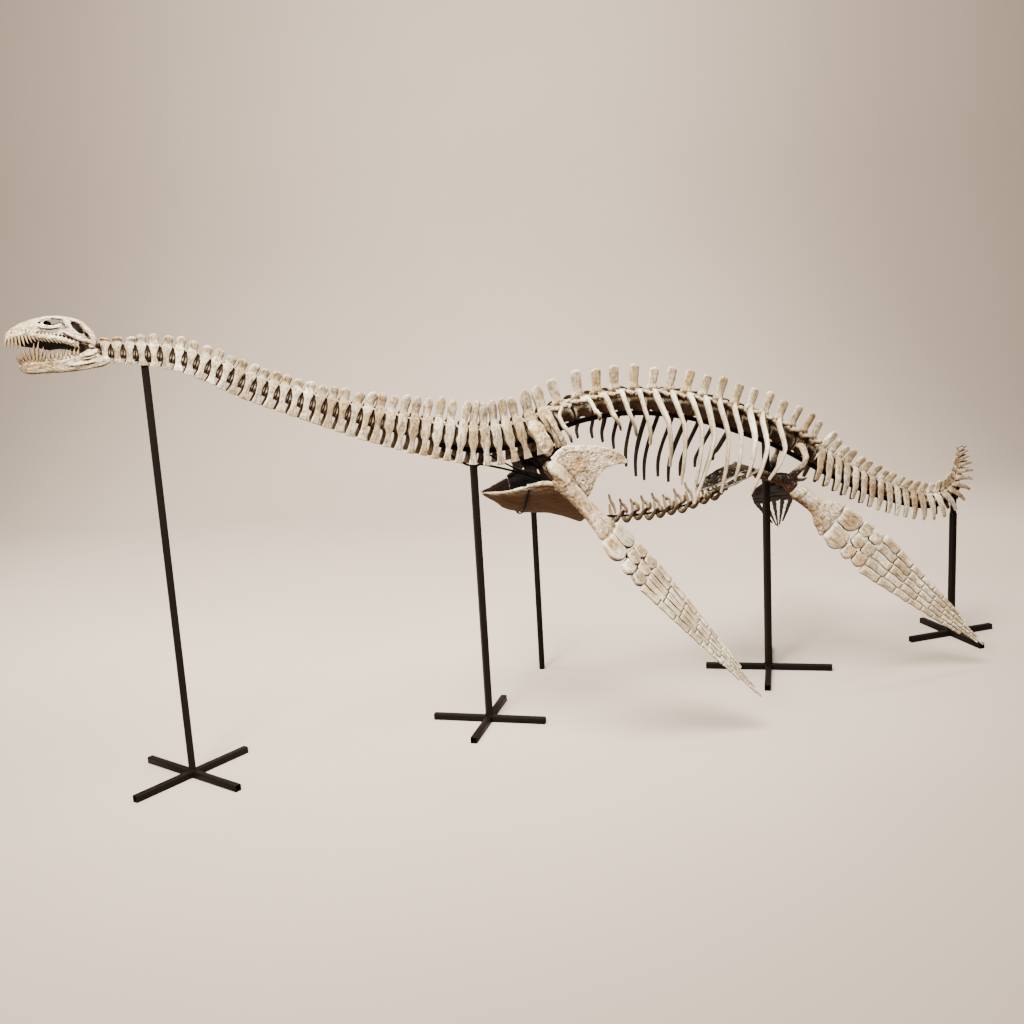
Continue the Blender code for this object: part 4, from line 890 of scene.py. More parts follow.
def block_template():
    """Wrist or ankle bone: a rounded flat block with five uneven sides."""
    rings = []
    for z, k in ((-1.0, 0.62), (-0.94, 0.84), (-0.72, 0.97), (-0.3, 1.0), (0.3, 1.0), (0.72, 0.97), (0.94, 0.84),
                 (1.0, 0.62)):
        ring = []
        for i in range(20):
            turn = 2 * math.pi * i / 20
            r = k * (1 + 0.07 * math.cos(5 * turn + 0.6) + 0.04 * math.sin(3 * turn))
            square = 1 / max(abs(math.cos(turn)), abs(math.sin(turn))) ** 0.70
            ring.append(Vector((math.cos(turn) * r * square * 0.965, math.sin(turn) * r * square * 0.965, z)))
        rings.append(ring)
    made = linked("block_template", mesh_from("block_template", [loft(rings)]))
    carry(made.data, "grain", "FLOAT_VECTOR", points_of(made) * (0.006, 0.024, 0.006))
    return made


def spot(at, along, across, size, tone=None):
    x = Vector(along).normalized()
    y = Vector(across)
    y = (y - x * y.dot(x)).normalized()
    return {"at": at, "axes": (x, y, x.cross(y)), "size": size,
            "tone": chance.uniform(0.05, 0.95) if tone is None else tone}


def flipper_bones(which):
    root, a, c, n, length, half, share = limb_axes(which)
    start, span = length * share, length * (1 - share)
    at = lambda far, across: root + a * (start + span * far) + c * across
    long_spots, block_spots = [], []
    # Forearm or shin: two flat bones side by side, then two rows of blocks
    for side, wide in ((-1, 0.50), (1, 0.44)):
        block_spots.append(spot(at(0.062, side * half * 0.47), a + c * (0.10 * side), c,
                                (span * 0.0600, half * wide * 1.02, 0.0125)))
    for row, wide, count in ((0.158, 0.98, 3), (0.222, 0.97, 3)):
        for k in range(count):
            across = (k - 1) * half * 0.64 * wide + chance.uniform(-0.002, 0.002)
            block_spots.append(spot(at(row + chance.uniform(-0.006, 0.006), across), a + c * chance.uniform(-0.2, 0.2),
                                    c,
                                    (span * 0.0345, half * 0.342 * wide, 0.0115)))
    counts = (8, 9, 10, 9, 8)
    for k in range(5):
        place = (k - 2) / 2.0
        reach = (0.87, 0.97, 1.0, 0.95, 0.85)[k]
        weights = [0.90 ** j * (1 + 0.06 * math.sin(3.1 * j + k)) for j in range(counts[k])]
        ends = 0.256 + (reach - 0.256) * np.concatenate([[0], np.cumsum(weights)]) / sum(weights)
        for j in range(counts[k]):
            far = (ends[j] + ends[j + 1]) / 2
            spread = lambda f: half * 0.86 * (1 - max(f - 0.25, 0) / 0.75 * 0.90) ** 0.85
            one, two = at(ends[j], place * spread(ends[j])), at(ends[j + 1], place * spread(ends[j + 1]))
            wide = max(spread(far) * (0.262 if "left" in which else 0.150), 0.0036)
            deep = max(0.0098 * (1 - 0.62 * (far - 0.25) / 0.75), 0.0032)
            gap = min(0.0022, (two - one).length * 0.07)
            long_spots.append(spot((one + two) / 2 + n * chance.uniform(-0.001, 0.001),
                                   two - one + c * chance.uniform(-0.003, 0.003),
                                   c, ((two - one).length - gap, wide, deep)))
    return long_spots, block_spots


def flippers():
    finger, block = long_template(), block_template()
    for which in LIMBS:
        node = "flipper_" + which
        # The far (right) flippers take the painted-shade bone, for the shade they lie in
        finish = BONE_PAINTED_SHADE if "right" in which else BONE
        long_spots, block_spots = flipper_bones(which)
        fingers = copies(which + "_finger_bones", finger, long_spots, finish, 0.0010, 90.0)
        finish_bone(fingers, [node], finish)
        blocks = copies(which + "_wrist_bones" if "front" in which
                        else which + "_ankle_bones", block, block_spots, finish,
                        0.0022, 45.0)
        finish_bone(blocks, [node], finish)
    for template in (finger, block):
        bpy.data.objects.remove(template)
    for which in LIMBS:
        side = which.split("_")[1]
        bone = "humerus" if "front" in which else "femur"
        upper_bone(which, f"{side}_{bone}_bone", f"{bone}_{side}")


# Skull, as sections (x, top, low, half width above, half width below)
SKULL = (
    (-2.782, 1.620, 1.608, 0.006, 0.010), (-2.777, 1.628, 1.606, 0.011, 0.018), (-2.762, 1.640, 1.609, 0.016, 0.026),
    (-2.742, 1.650, 1.614, 0.018, 0.030), (-2.717, 1.659, 1.617, 0.019, 0.030), (-2.692, 1.665, 1.611, 0.022, 0.034),
    (-2.662, 1.669, 1.603, 0.030, 0.041), (-2.636, 1.671, 1.600, 0.034, 0.047), (-2.606, 1.669, 1.592, 0.030, 0.054),
    (-2.582, 1.659, 1.581, 0.024, 0.060), (-2.560, 1.646, 1.572, 0.020, 0.064), (-2.540, 1.631, 1.565, 0.020, 0.065),
    (-2.522, 1.614, 1.561, 0.024, 0.061), (-2.508, 1.606, 1.566, 0.022, 0.050),
)


def head_ring(x, top, low, wide_top, wide_low, sides=36):
    ring = []
    for i in range(sides):
        turn = 2 * math.pi * (i + 0.5) / sides
        c, s = math.cos(turn), math.sin(turn)
        c, s = math.copysign(abs(c) ** 0.8, c), math.copysign(abs(s) ** 0.8, s)
        wide = wide_low + (wide_top - wide_low) * (s + 1) / 2
        ring.append(Vector((x, wide * c, (top + low) / 2 + (top - low) / 2 * s)))
    return ring


def head_at(x):
    return [float(np.interp(x, [row[0] for row in SKULL], [row[k] for row in SKULL])) for k in range(1, 5)]


def oval_prism(centre, a, b, slant, y_from, y_to, sides=28):
    """Oval prism across the head, from y_from to y_to."""
    u = Vector((math.cos(slant), 0, math.sin(slant)))
    v = Vector((-u.z, 0, u.x))
    rings = []
    for y in (y_from, (y_from + y_to) / 2, y_to):
        rings.append(round_ring(Vector((centre[0], y, centre[1])), u, v, a, b, sides))
    return loft(rings)


def skull_bones():
    shapes = [loft([head_ring(*row) for row in smooth(SKULL, 4)])]
    for s in (-1, 1):
        # Brow and cheek ridges, arch from the crest to the jaw joint, and the joint itself
        shapes.append(strand([(-2.668, s * 0.028, 1.664), (-2.650, s * 0.034, 1.667), (-2.625, s * 0.036, 1.668),
                              (-2.602, s * 0.036, 1.662), (-2.592, s * 0.041, 1.650), (-2.590, s * 0.046, 1.636)],
                             [(0.003, 0.003), (0.004, 0.0035), (0.0045, 0.004), (0.005, 0.004), (0.005, 0.004),
                              (0.006, 0.003)],
                             ACROSS, 10))
        shapes.append(strand([(-2.672, s * 0.036, 1.642), (-2.655, s * 0.042, 1.638), (-2.630, s * 0.047, 1.636),
                              (-2.608, s * 0.049, 1.640)],
                             [(0.003, 0.003), (0.0035, 0.003), (0.004, 0.003), (0.004, 0.003)],
                             ACROSS, 10))
        shapes.append(strand([(-2.575, s * 0.012, 1.657), (-2.548, s * 0.022, 1.645), (-2.528, s * 0.040, 1.624),
                              (-2.514, s * 0.054, 1.600), (-2.514, s * 0.056, 1.582), (-2.520, s * 0.052, 1.566)],
                             [(0.004, 0.005), (0.006, 0.005), (0.008, 0.005), (0.009, 0.005), (0.010, 0.006),
                              (0.011, 0.008)],
                             ALONG, 12))
        shapes.append(strand([(-2.600, s * 0.050, 1.622), (-2.575, s * 0.058, 1.606), (-2.548, s * 0.064, 1.592),
                              (-2.522, s * 0.060, 1.584)],
                             [(0.004, 0.003), (0.006, 0.004), (0.007, 0.004), (0.006, 0.004)],
                             UP, 12))
        # Lip that the teeth stand in
        gums = [(x, head_at(x)) for x in np.linspace(-2.774, -2.560, 11)]
        shapes.append(strand([(x, s * wide * 0.90, low + 0.0055) for x, (_, low, _, wide) in gums],
                             [(0.0052, 0.0075)] * 11,
                             ACROSS, 10))
        # Swellings over the tooth roots
        for k in range(19):
            tx = -2.772 + 0.0115 * k
            _, low, _, wide = head_at(tx)
            swell = 0.0042 if k < 6 else 0.0030
            shapes.append(strand([(tx + 0.006, s * wide * 0.90, low + 0.018),
                                  (tx + 0.002, s * wide * 0.96, low + 0.008),
                                  (tx, s * wide * 0.93, low - 0.001)],
                                 [(swell * 0.4, swell * 0.4), (swell, swell * 0.8), (swell * 0.9, swell * 0.7)],
                                 ALONG, 8))
    # Crest along the snout and between the temple openings
    shapes.append(strand([(-2.760, 0, 1.638), (-2.720, 0, 1.657), (-2.670, 0, 1.667), (-2.620, 0, 1.669),
                          (-2.580, 0, 1.658), (-2.550, 0, 1.644), (-2.530, 0, 1.628)],
                         [(0.003, 0.003), (0.004, 0.003), (0.005, 0.003), (0.006, 0.004), (0.007, 0.006),
                          (0.008, 0.008), (0.007, 0.006)],
                         ACROSS, 10))
    holes = []
    inner = []
    for x, top, low, wide_top, wide_low in smooth(SKULL[3:13], 2):
        inner.append(head_ring(x, top - 0.0085, low - 0.030, max(wide_top - 0.006, 0.004), wide_low * 0.72, 24))
    holes.append(loft(inner))
    for s in (-1, 1):
        holes.append(oval_prism((-2.633, 1.6535), 0.0265, 0.0092, 0.06, s * 0.006, s * 0.09))
        holes.append(oval_prism((-2.557, 1.628), 0.0250, 0.0095, -0.84, s * 0.006, s * 0.10))
        holes.append(oval_prism((-2.531, 1.605), 0.0100, 0.0036, -1.05, s * 0.020, s * 0.10, 16))
        for x, z, a, b in ((-2.671, 1.6545, 0.0058, 0.0034), (-2.744, 1.639, 0.0034, 0.0020),
                           (-2.734, 1.643, 0.0018, 0.0014), (-2.704, 1.640, 0.0016, 0.0012),
                           (-2.600, 1.6135, 0.0016, 0.0013)):
            wide = head_at(x)[2]
            holes.append(oval_prism((x, z), a, b, 0.3, s * (wide * 0.7), s * 0.09, 10))
    return shapes, holes


def head():
    shapes, holes = skull_bones()
    made = fused("skull_bones", shapes, 0.0017, 1, holes)
    roughen(made, 0.0014, 0.009, (0.28, 1, 1))
    roughen(made, 0.0005, 0.0035, (0.45, 1, 1))
    grain(made, (1, 0, 0.1))
    finish_bone(made, ["skull"], BONE, tone=0.8)
    # Roof of the mouth between the jaws, sunk below the lip and in the painted-shade bone: partly palate, partly a dark
    # sheet for the shade inside the mouth
    rows = []
    for x in np.linspace(-2.762, -2.548, 9):
        _, low, _, wide = head_at(x)
        far = (x + 2.762) / 0.214
        sink = (0.012 + 0.028 * min(far / 0.15, 1.0) * (1 - 0.55 * max((far - 0.5) / 0.5, 0))
                + chance.uniform(-0.002, 0.002))
        rows.append([Vector((x, wide * 0.84 * k, low + 0.008 - sink * h))
                     for k, h in ((-1, 0.25), (-0.6, 0.75), (-0.2, 1.0), (0.2, 1.1), (0.6, 1.1), (1, 0.9))])
    palate = fused("palate_bones", [sheet(rows, 0.006, 3)], 0.0018, 2)
    roughen(palate, 0.0014, 0.010, (0.4, 1, 1))
    finish_bone(palate, ["skull"], BONE_PAINTED_SHADE, tone=0.2)
    # Braincase, and the knob that meets the first neck bone
    point, t, up = backbone(0)
    inside = [strand([(-2.668, 0, 1.650), (-2.650, 0, 1.650), (-2.640, 0, 1.646)],
                     [(0.010, 0.010), (0.013, 0.009), (0.008, 0.007)], ACROSS, 12),
              strand([(-2.612, 0, 1.640), (-2.585, 0, 1.634), (-2.555, 0, 1.622), (-2.522, 0, 1.596)],
                     [(0.010, 0.012), (0.015, 0.020), (0.018, 0.022), (0.014, 0.018)], ACROSS, 14)]
    # The walls seen through the temple openings take the painted-shade bone, for the shade inside the head
    inner = fused("brain_cavity_walls", inside, 0.0018, 2)
    finish_bone(roughen(inner, 0.0016, 0.008), ["skull"], BONE_PAINTED_SHADE, tone=0.15)
    brain = [strand([point - t * 0.085 + up * 0.050, point - t * 0.050 + up * 0.026, point - t * 0.016 + up * 0.004,
                     point],
                    [(0.020, 0.020), (0.022, 0.024), (0.018, 0.018), (0.013, 0.013)], ACROSS, 16)]
    for s in (-1, 1):
        brain.append(strand([(-2.545, s * 0.010, 1.640), (-2.522, s * 0.020, 1.612), (-2.506, s * 0.018, 1.580),
                             (-2.502, s * 0.006, 1.560)],
                            [(0.006, 0.004), (0.008, 0.004), (0.008, 0.004), (0.006, 0.004)], ALONG, 10))
        brain.append(strand([(-2.516, s * 0.008, 1.580), (-2.512, s * 0.030, 1.590), (-2.512, s * 0.050, 1.596)],
                            [(0.006, 0.005), (0.005, 0.004), (0.006, 0.004)], UP, 10))
    made = fused("braincase_bones", brain, 0.0018, 2)
    roughen(made, 0.0010, 0.007)
    finish_bone(made, ["skull"], BONE, tone=0.55)


# Lower jaw, each side, as sections (x, y, lower edge, upper edge, half thickness)
JAW = (
    (-2.742, 0.006, 1.500, 1.527, 0.0075), (-2.735, 0.015, 1.494, 1.531, 0.0085), (-2.718, 0.023, 1.491, 1.534, 0.0085),
    (-2.690, 0.030, 1.490, 1.534, 0.0075), (-2.650, 0.037, 1.490, 1.534, 0.0065), (-2.610, 0.045, 1.489, 1.537, 0.0065),
    (-2.575, 0.050, 1.491, 1.543, 0.0065), (-2.550, 0.052, 1.493, 1.549, 0.0065), (-2.533, 0.052, 1.494, 1.559, 0.0065),
    (-2.520, 0.052, 1.496, 1.556, 0.0085), (-2.502, 0.051, 1.498, 1.541, 0.0085), (-2.486, 0.049, 1.501, 1.531, 0.0070),
    (-2.468, 0.047, 1.510, 1.526, 0.0055),
)


def jaw_at(x):
    rows = np.array(JAW)
    return [float(np.interp(x, rows[:, 0], rows[:, k])) for k in range(1, 5)]


def jaw_bones():
    shapes, holes = [], []
    for s in (-1, 1):
        rings = []
        for x, y, low, top, half in smooth(JAW, 4):
            rings.append(round_ring(Vector((x, s * y, (low + top) / 2)), ACROSS, UP, half, (top - low) / 2, 20, 3.0))
        shapes.append(loft(rings))
        # Ridge above a long groove, and the socket for the skull
        shapes.append(strand([(-2.600, s * 0.052, 1.512), (-2.560, s * 0.059, 1.513), (-2.520, s * 0.060, 1.517),
                              (-2.490, s * 0.055, 1.516)],
                             [(0.003, 0.003), (0.0035, 0.003), (0.0035, 0.003), (0.003, 0.003)], UP, 10))
        shapes.append(strand([(-2.575, s * 0.055, 1.534), (-2.545, s * 0.058, 1.540), (-2.515, s * 0.060, 1.545)],
                             [(0.003, 0.002), (0.004, 0.003), (0.004, 0.003)], UP, 10))
        shapes.append(strand([(-2.507, s * 0.046, 1.546), (-2.512, s * 0.052, 1.553), (-2.514, s * 0.060, 1.547)],
                             [(0.008, 0.005), (0.010, 0.006), (0.008, 0.005)], ALONG, 10))
        holes.append(oval_prism((-2.534, 1.5255), 0.0230, 0.0021, 0.17, s * 0.0545, s * 0.09, 16))
        for x, z, a in ((-2.690, 1.519, 0.0017), (-2.655, 1.517, 0.0018), (-2.720, 1.512, 0.0017),
                        (-2.625, 1.521, 0.0016)):
            y, _, _, half = jaw_at(x)
            holes.append(oval_prism((x, z), a * 1.5, a, 0.2, s * (y + half * 0.3), s * 0.09, 10))
        for k in range(17):
            tx = -2.738 + 0.0108 * k
            y, _, top, _ = jaw_at(tx)
            shapes.append(strand([(tx - 0.001, s * (y + 0.004), top - 0.012), (tx, s * (y + 0.003), top + 0.0015)],
                                 [(0.003, 0.002), (0.0036, 0.003)], ALONG, 8))
    shapes.append(strand([(-2.746, 0, 1.517), (-2.735, 0, 1.511), (-2.712, 0, 1.503), (-2.690, 0, 1.500)],
                         [(0.010, 0.008), (0.016, 0.015), (0.024, 0.012), (0.022, 0.006)], ACROSS, 18))
    made = fused("lower_jaw_bones", shapes, 0.0017, 1, holes)
    roughen(made, 0.0011, 0.008, (0.30, 1, 1))
    roughen(made, 0.0005, 0.0035, (0.5, 1, 1))
    grain(made, (1, 0, 0.05))
    # Painted shade along the lower edge of the jaw
    painted_shade(made, lambda co: ((1.4985 - co[:, 2]) / 0.010).clip(0, 0.8))
    finish_bone(made, ["lower_jaw"], BONE, tone=0.72)


def tooth_template():
    rings = []
    for z, k in ((-0.18, 0.75), (0.0, 1.0), (0.18, 1.0), (0.38, 0.86), (0.58, 0.66), (0.76, 0.44), (0.90, 0.24),
                 (1.0, 0.06)):
        rings.append(round_ring(Vector((1.6 * z * z, 0, z)), ALONG, ACROSS, k, k, 9))
    return linked("tooth_template", mesh_from("tooth_template", [loft(rings)]))


def tooth_spot(root, tip, bend, wide):
    root, tip = Vector(root), Vector(tip)
    z = (tip - root).normalized()
    x = Vector(bend)
    x = (x - z * x.dot(z)).normalized()
    length = (tip - root).length
    return {"at": root, "axes": (x, z.cross(x), z), "size": (wide, wide, length), "tone": chance.uniform(0.2, 1.0)}


def teeth():
    template = tooth_template()
    upper, lower = [], []
    for s in (-1, 1):
        for k in range(9):  # long front teeth, raked forwards
            tx = -2.777 + 0.0098 * k
            _, low, _, wide = head_at(tx)
            long = (0.024, 0.029, 0.034, 0.037, 0.037, 0.034, 0.030, 0.025, 0.021)[k] + chance.uniform(-0.002, 0.002)
            upper.append(tooth_spot((tx, s * wide * 0.88, low + 0.004),
                                    (tx - 0.013 + 0.0020 * k, s * (wide + 0.005), low - long),
                                    (1, s * 0.1, 0), 0.0046))
        for k in range(12):
            tx = -2.690 + 0.0110 * k + chance.uniform(-0.001, 0.001)
            _, low, _, wide = head_at(tx)
            long = 0.018 - 0.0004 * k + chance.uniform(-0.002, 0.002)
            upper.append(tooth_spot((tx, s * wide * 0.90, low + 0.004),
                                    (tx + 0.006, s * (wide * 0.94 + 0.001), low - long),
                                    (1, s * 0.2, 0), 0.0043))
        for k in range(8):
            tx = -2.741 + 0.0098 * k
            y, _, top, _ = jaw_at(tx)
            long = (0.024, 0.028, 0.031, 0.038, 0.056, 0.060, 0.044, 0.034)[k] + chance.uniform(-0.002, 0.002)
            lean = (-0.024, -0.021, -0.017, -0.010, -0.002, 0.003, 0.006, 0.006)[k]
            lower.append(tooth_spot((tx, s * (y + 0.002), top - 0.001), (tx + lean, s * (y + 0.008), top + long),
                                    (1, 0, 0), 0.0056))
        for k in range(8):
            tx = -2.655 + 0.0130 * k + chance.uniform(-0.001, 0.001)
            y, _, top, _ = jaw_at(tx)
            long = 0.028 - 0.0011 * k + chance.uniform(-0.003, 0.003)
            lower.append(tooth_spot((tx, s * (y + 0.002), top - 0.001), (tx - 0.003, s * (y + 0.004), top + long),
                                    (1, 0, 0), 0.0050))
    finish_bone(copies("upper_teeth", template, upper, TOOTH, 0.0001, 200.0), ["skull"], TOOTH)
    finish_bone(copies("lower_teeth", template, lower, TOOTH, 0.0001, 200.0), ["lower_jaw"], TOOTH)
    bpy.data.objects.remove(template)


# Shoulder girdle: a trough of plates, as sections (x, keel height, half width, rim height)
TROUGH = (
    (-1.194, 0.905, 0.020, 0.915), (-1.150, 0.880, 0.055, 0.915), (-1.105, 0.845, 0.085, 0.925),
    (-1.050, 0.822, 0.120, 0.938), (-0.990, 0.818, 0.150, 0.945), (-0.920, 0.803, 0.165, 0.925),
    (-0.850, 0.776, 0.150, 0.870), (-0.805, 0.758, 0.110, 0.800),
)


def trough_row(x, keel, half, rim, side, inner):
    rows = ((inner, 0.0), (0.16, 0.03), (0.38, 0.16), (0.62, 0.42), (0.84, 0.76), (1.0, 1.0))
    return [Vector((x, side * (inner + (half - inner) * k), keel + (rim - keel) * h)) for k, h in rows]


def full_row(x, keel, half, rim):
    """A row of the trough from its left rim to its right one."""
    left, right = (trough_row(x, keel, half, rim, side, 0.0) for side in (-1, 1))
    return list(reversed(left))[:-1] + right


def chest_plates():
    rows = [full_row(*row) for row in TROUGH[:4]]
    made = fused("collar_bone_plate", [sheet(rows, 0.013, 3)], 0.0030, 2)
    roughen(made, 0.0034, 0.026, (0.4, 1, 1))
    # Painted shade: darker towards the bottom of the plate and over its far (right) half
    painted_shade(made, lambda co: np.maximum((0.928 - co[:, 2]) / 0.035, co[:, 1] / 0.02))
    grain(made, (1, 0, 0.25), 0.08)
    finish_bone(made, ["collar_plate"], BONE, tone=0.55)
    # Steel strap under the seam between the front plate and those behind it
    x, keel, half, rim = TROUGH[3]
    strap = full_row(x - 0.001, keel - 0.010, half + 0.009, rim - 0.012)
    finish_steel("chest_plate_strap", [strand(strap, [(0.0050, 0.0013)] * len(strap), ALONG, 10)], "stand_belly_rod")
    for s, name in ((-1, "left"), (1, "right")):
        rows = [trough_row(*row, s, 0.0015) for row in TROUGH[3:]]
        shapes = [sheet(rows, 0.013, 3)]
        # Thick keel and rim
        shapes.append(strand([(x, s * 0.014, keel + 0.002) for x, keel, _, _ in TROUGH[3:]],
                             [(0.012, 0.008)] * 5, ACROSS, 10))
        shapes.append(strand([(x, s * (half - 0.004), rim) for x, _, half, rim in TROUGH[3:]],
                             [(0.006, 0.008), (0.008, 0.010), (0.010, 0.012), (0.010, 0.010), (0.006, 0.006)], ACROSS,
                             10))
        root, a, c = limb_axes("front_" + name)[:3]
        # Socket for the upper arm, with struts to the plate and to the shoulder blade
        shapes.append(strand([root - a * 0.052, root - a * 0.024, root - a * 0.006],
                             [(0.024, 0.020), (0.029, 0.026), (0.027, 0.025)],
                             c, 16))
        shapes.append(strand([(-0.935, s * 0.160, 0.915), (-0.930, s * 0.185, 0.955), root - a * 0.036],
                             [(0.030, 0.014), (0.026, 0.013), (0.024, 0.018)], ALONG, 14))
        made = fused(name + "_coracoid_plate", shapes, 0.0030, 2)
        roughen(made, 0.0034, 0.026, (0.4, 1, 1))
        # Painted shade: darker towards the bottom, more on the far plate, and round the arm socket
        socket = np.array(root - a * 0.030)
        painted_shade(made, lambda co: np.maximum((0.938 - co[:, 2]) / 0.04 + (0.3 if s > 0 else 0),
                                         (0.075 - np.linalg.norm(co - socket, axis=1)) / 0.015))
        grain(made, (1, 0, -0.1), 0.08)
        # The far (right) plate takes the painted-shade bone
        finish_bone(made, ["shoulder_" + name], BONE if s < 0 else BONE_PAINTED_SHADE, tone=0.5)
        shoulder_blade(s, name)


BLADE = (
    (-0.974, 1.043), (-0.943, 1.067), (-0.918, 1.081), (-0.877, 1.081), (-0.830, 1.074), (-0.785, 1.067),
    (-0.719, 1.046), (-0.692, 1.026), (-0.678, 1.007), (-0.678, 0.992), (-0.716, 0.994), (-0.759, 0.985),
    (-0.793, 0.962), (-0.812, 0.933), (-0.827, 0.897), (-0.850, 0.876), (-0.868, 0.882), (-0.884, 0.912),
    (-0.906, 0.950), (-0.938, 0.985), (-0.962, 1.013),
)


def shoulder_blade(s, name):
    rim = smooth(BLADE + BLADE[:1], 3)[:-1]
    shapes = [slab([(x, 0, z) for x, z in rim], 0.013)]
    shapes.append(strand([(-0.950, 0, 1.046), (-0.900, 0, 1.062), (-0.830, 0, 1.056), (-0.750, 0, 1.036),
                          (-0.695, 0, 1.008)],
                         [(0.010, 0.008), (0.010, 0.009), (0.008, 0.008), (0.007, 0.008), (0.006, 0.007)], UP, 12))
    shapes.append(strand([(-0.945, 0, 1.030), (-0.900, 0, 0.985), (-0.865, 0, 0.930), (-0.848, 0, 0.890)],
                         [(0.012, 0.009), (0.014, 0.010), (0.014, 0.010), (0.014, 0.010)], ALONG, 12))
    made = fused(name + "_shoulder_blade", shapes, 0.0028, 3)

    def lean(co):
        co[:, 1] += s * (0.184 - 0.10 * (co[:, 2] - 1.0).clip(0, 1) - 0.12 * (0.93 - co[:, 2]).clip(0, 1))
        co[:, 1] += s * 0.10 * (co[:, 0] + 0.86).clip(-0.2, 0)
        return co
    reshape(made, lean)
    if s > 0:  # the far one sits a little lower at its upper front corner
        def lower(co):
            co[:, 2] -= 0.045 * ((co[:, 2] - 0.98) / 0.08).clip(0, 1)
            return co
        reshape(made, lower)
    grain(made, (1, 0, 0.15), 0.15)
    roughen(made, 0.0026, 0.022)
    roughen(made, 0.0008, 0.006)
    # The far (right) blade takes the painted-shade bone
    finish_bone(made, ["shoulder_" + name], BONE if s < 0 else BONE_PAINTED_SHADE, tone=0.92)


def hip_girdle():
    for s, name in ((-1, "left"), (1, "right")):
        root, a, c = limb_axes("hind_" + name)[:3]
        shapes = []
        # Ilium
        shapes.append(strand([(0.150, s * 0.064, 0.955), (0.150, s * 0.085, 0.948), (0.146, s * 0.112, 0.895),
                              root - a * 0.024 + Vector((0, 0, 0.022))],
                             [(0.019, 0.012), (0.016, 0.012), (0.012, 0.011), (0.020, 0.016)], ALONG, 14))
        shapes.append(strand([root - a * 0.040, root - a * 0.020, root - a * 0.005],
                             [(0.022, 0.020), (0.029, 0.027), (0.027, 0.025)],
                             c, 16))
        rows = []
        for x, z, inner, outer, rise in ((-0.262, 0.806, 0.022, 0.060, 0.006), (-0.225, 0.812, 0.014, 0.092, 0.014),
                                         (-0.175, 0.824, 0.012, 0.112, 0.020), (-0.125, 0.842, 0.012, 0.116, 0.022),
                                         (-0.070, 0.860, 0.016, 0.104, 0.020), (-0.020, 0.862, 0.022, 0.080, 0.014)):
            rows.append([Vector((x, s * (inner + (outer - inner) * k), z + rise * k * k)) for k in (0, 0.3, 0.65, 1)])
        shapes.append(sheet(rows, 0.011, 3))
        rows = []
        for x, z, inner, outer in ((0.020, 0.833, 0.026, 0.075), (0.060, 0.823, 0.018, 0.094),
                                   (0.100, 0.811, 0.014, 0.100),
                                   (0.150, 0.801, 0.012, 0.082), (0.200, 0.796, 0.012, 0.046)):
            rows.append([Vector((x, s * (inner + (outer - inner) * k), z + 0.02 * k)) for k in (0, 0.5, 1)])
        shapes.append(sheet(rows, 0.011, 3))
        joint = root - a * 0.030
        for x, y, z in ((-0.070, 0.092, 0.872), (0.085, 0.070, 0.824)):
            shapes.append(strand([(x, s * y, z), (Vector((x, s * y, z)) + joint) / 2, joint],
                                 [(0.024, 0.010), (0.017, 0.012), (0.018, 0.016)], UP, 14))
        holes = []
        for row in range(3):
            for column in range(5):
                x = -0.240 + 0.037 * column + 0.016 * (row % 2) + chance.uniform(-0.004, 0.004)
                y = 0.036 + 0.024 * row + chance.uniform(-0.003, 0.003)
                across, reach = Vector((0.9, 0.2, 0)).normalized(), chance.uniform(0.008, 0.012)
                holes.append(loft([round_ring(Vector((x, s * y, z)), across, Vector((-across.y, across.x, 0)), reach,
                                              0.0058, 14)
                                   for z in (0.78, 0.93)]))
        made = fused(name + "_hip_bones", shapes, 0.0028, 2, holes)
        roughen(made, 0.0026, 0.020)
        # Painted shade: darker towards the bottom
        painted_shade(made, lambda co: (0.915 - co[:, 2]) / 0.05)
        grain(made, (0.5, 0, 1))
        finish_bone(made, ["pelvis_" + name], BONE, tone=0.5)


ROD_PATH = (
    (-1.192, 0, 1.015), (-1.175, 0, 1.015), (-0.996, 0, 0.953), (-0.918, 0, 0.895), (-0.862, 0, 0.787),
    (-0.795, 0, 0.772), (-0.700, 0, 0.758), (-0.600, 0, 0.748), (-0.500, 0, 0.745), (-0.400, 0, 0.750),
    (-0.300, 0, 0.767), (-0.180, 0, 0.800), (-0.060, 0, 0.850), (-0.040, 0, 0.856),
)


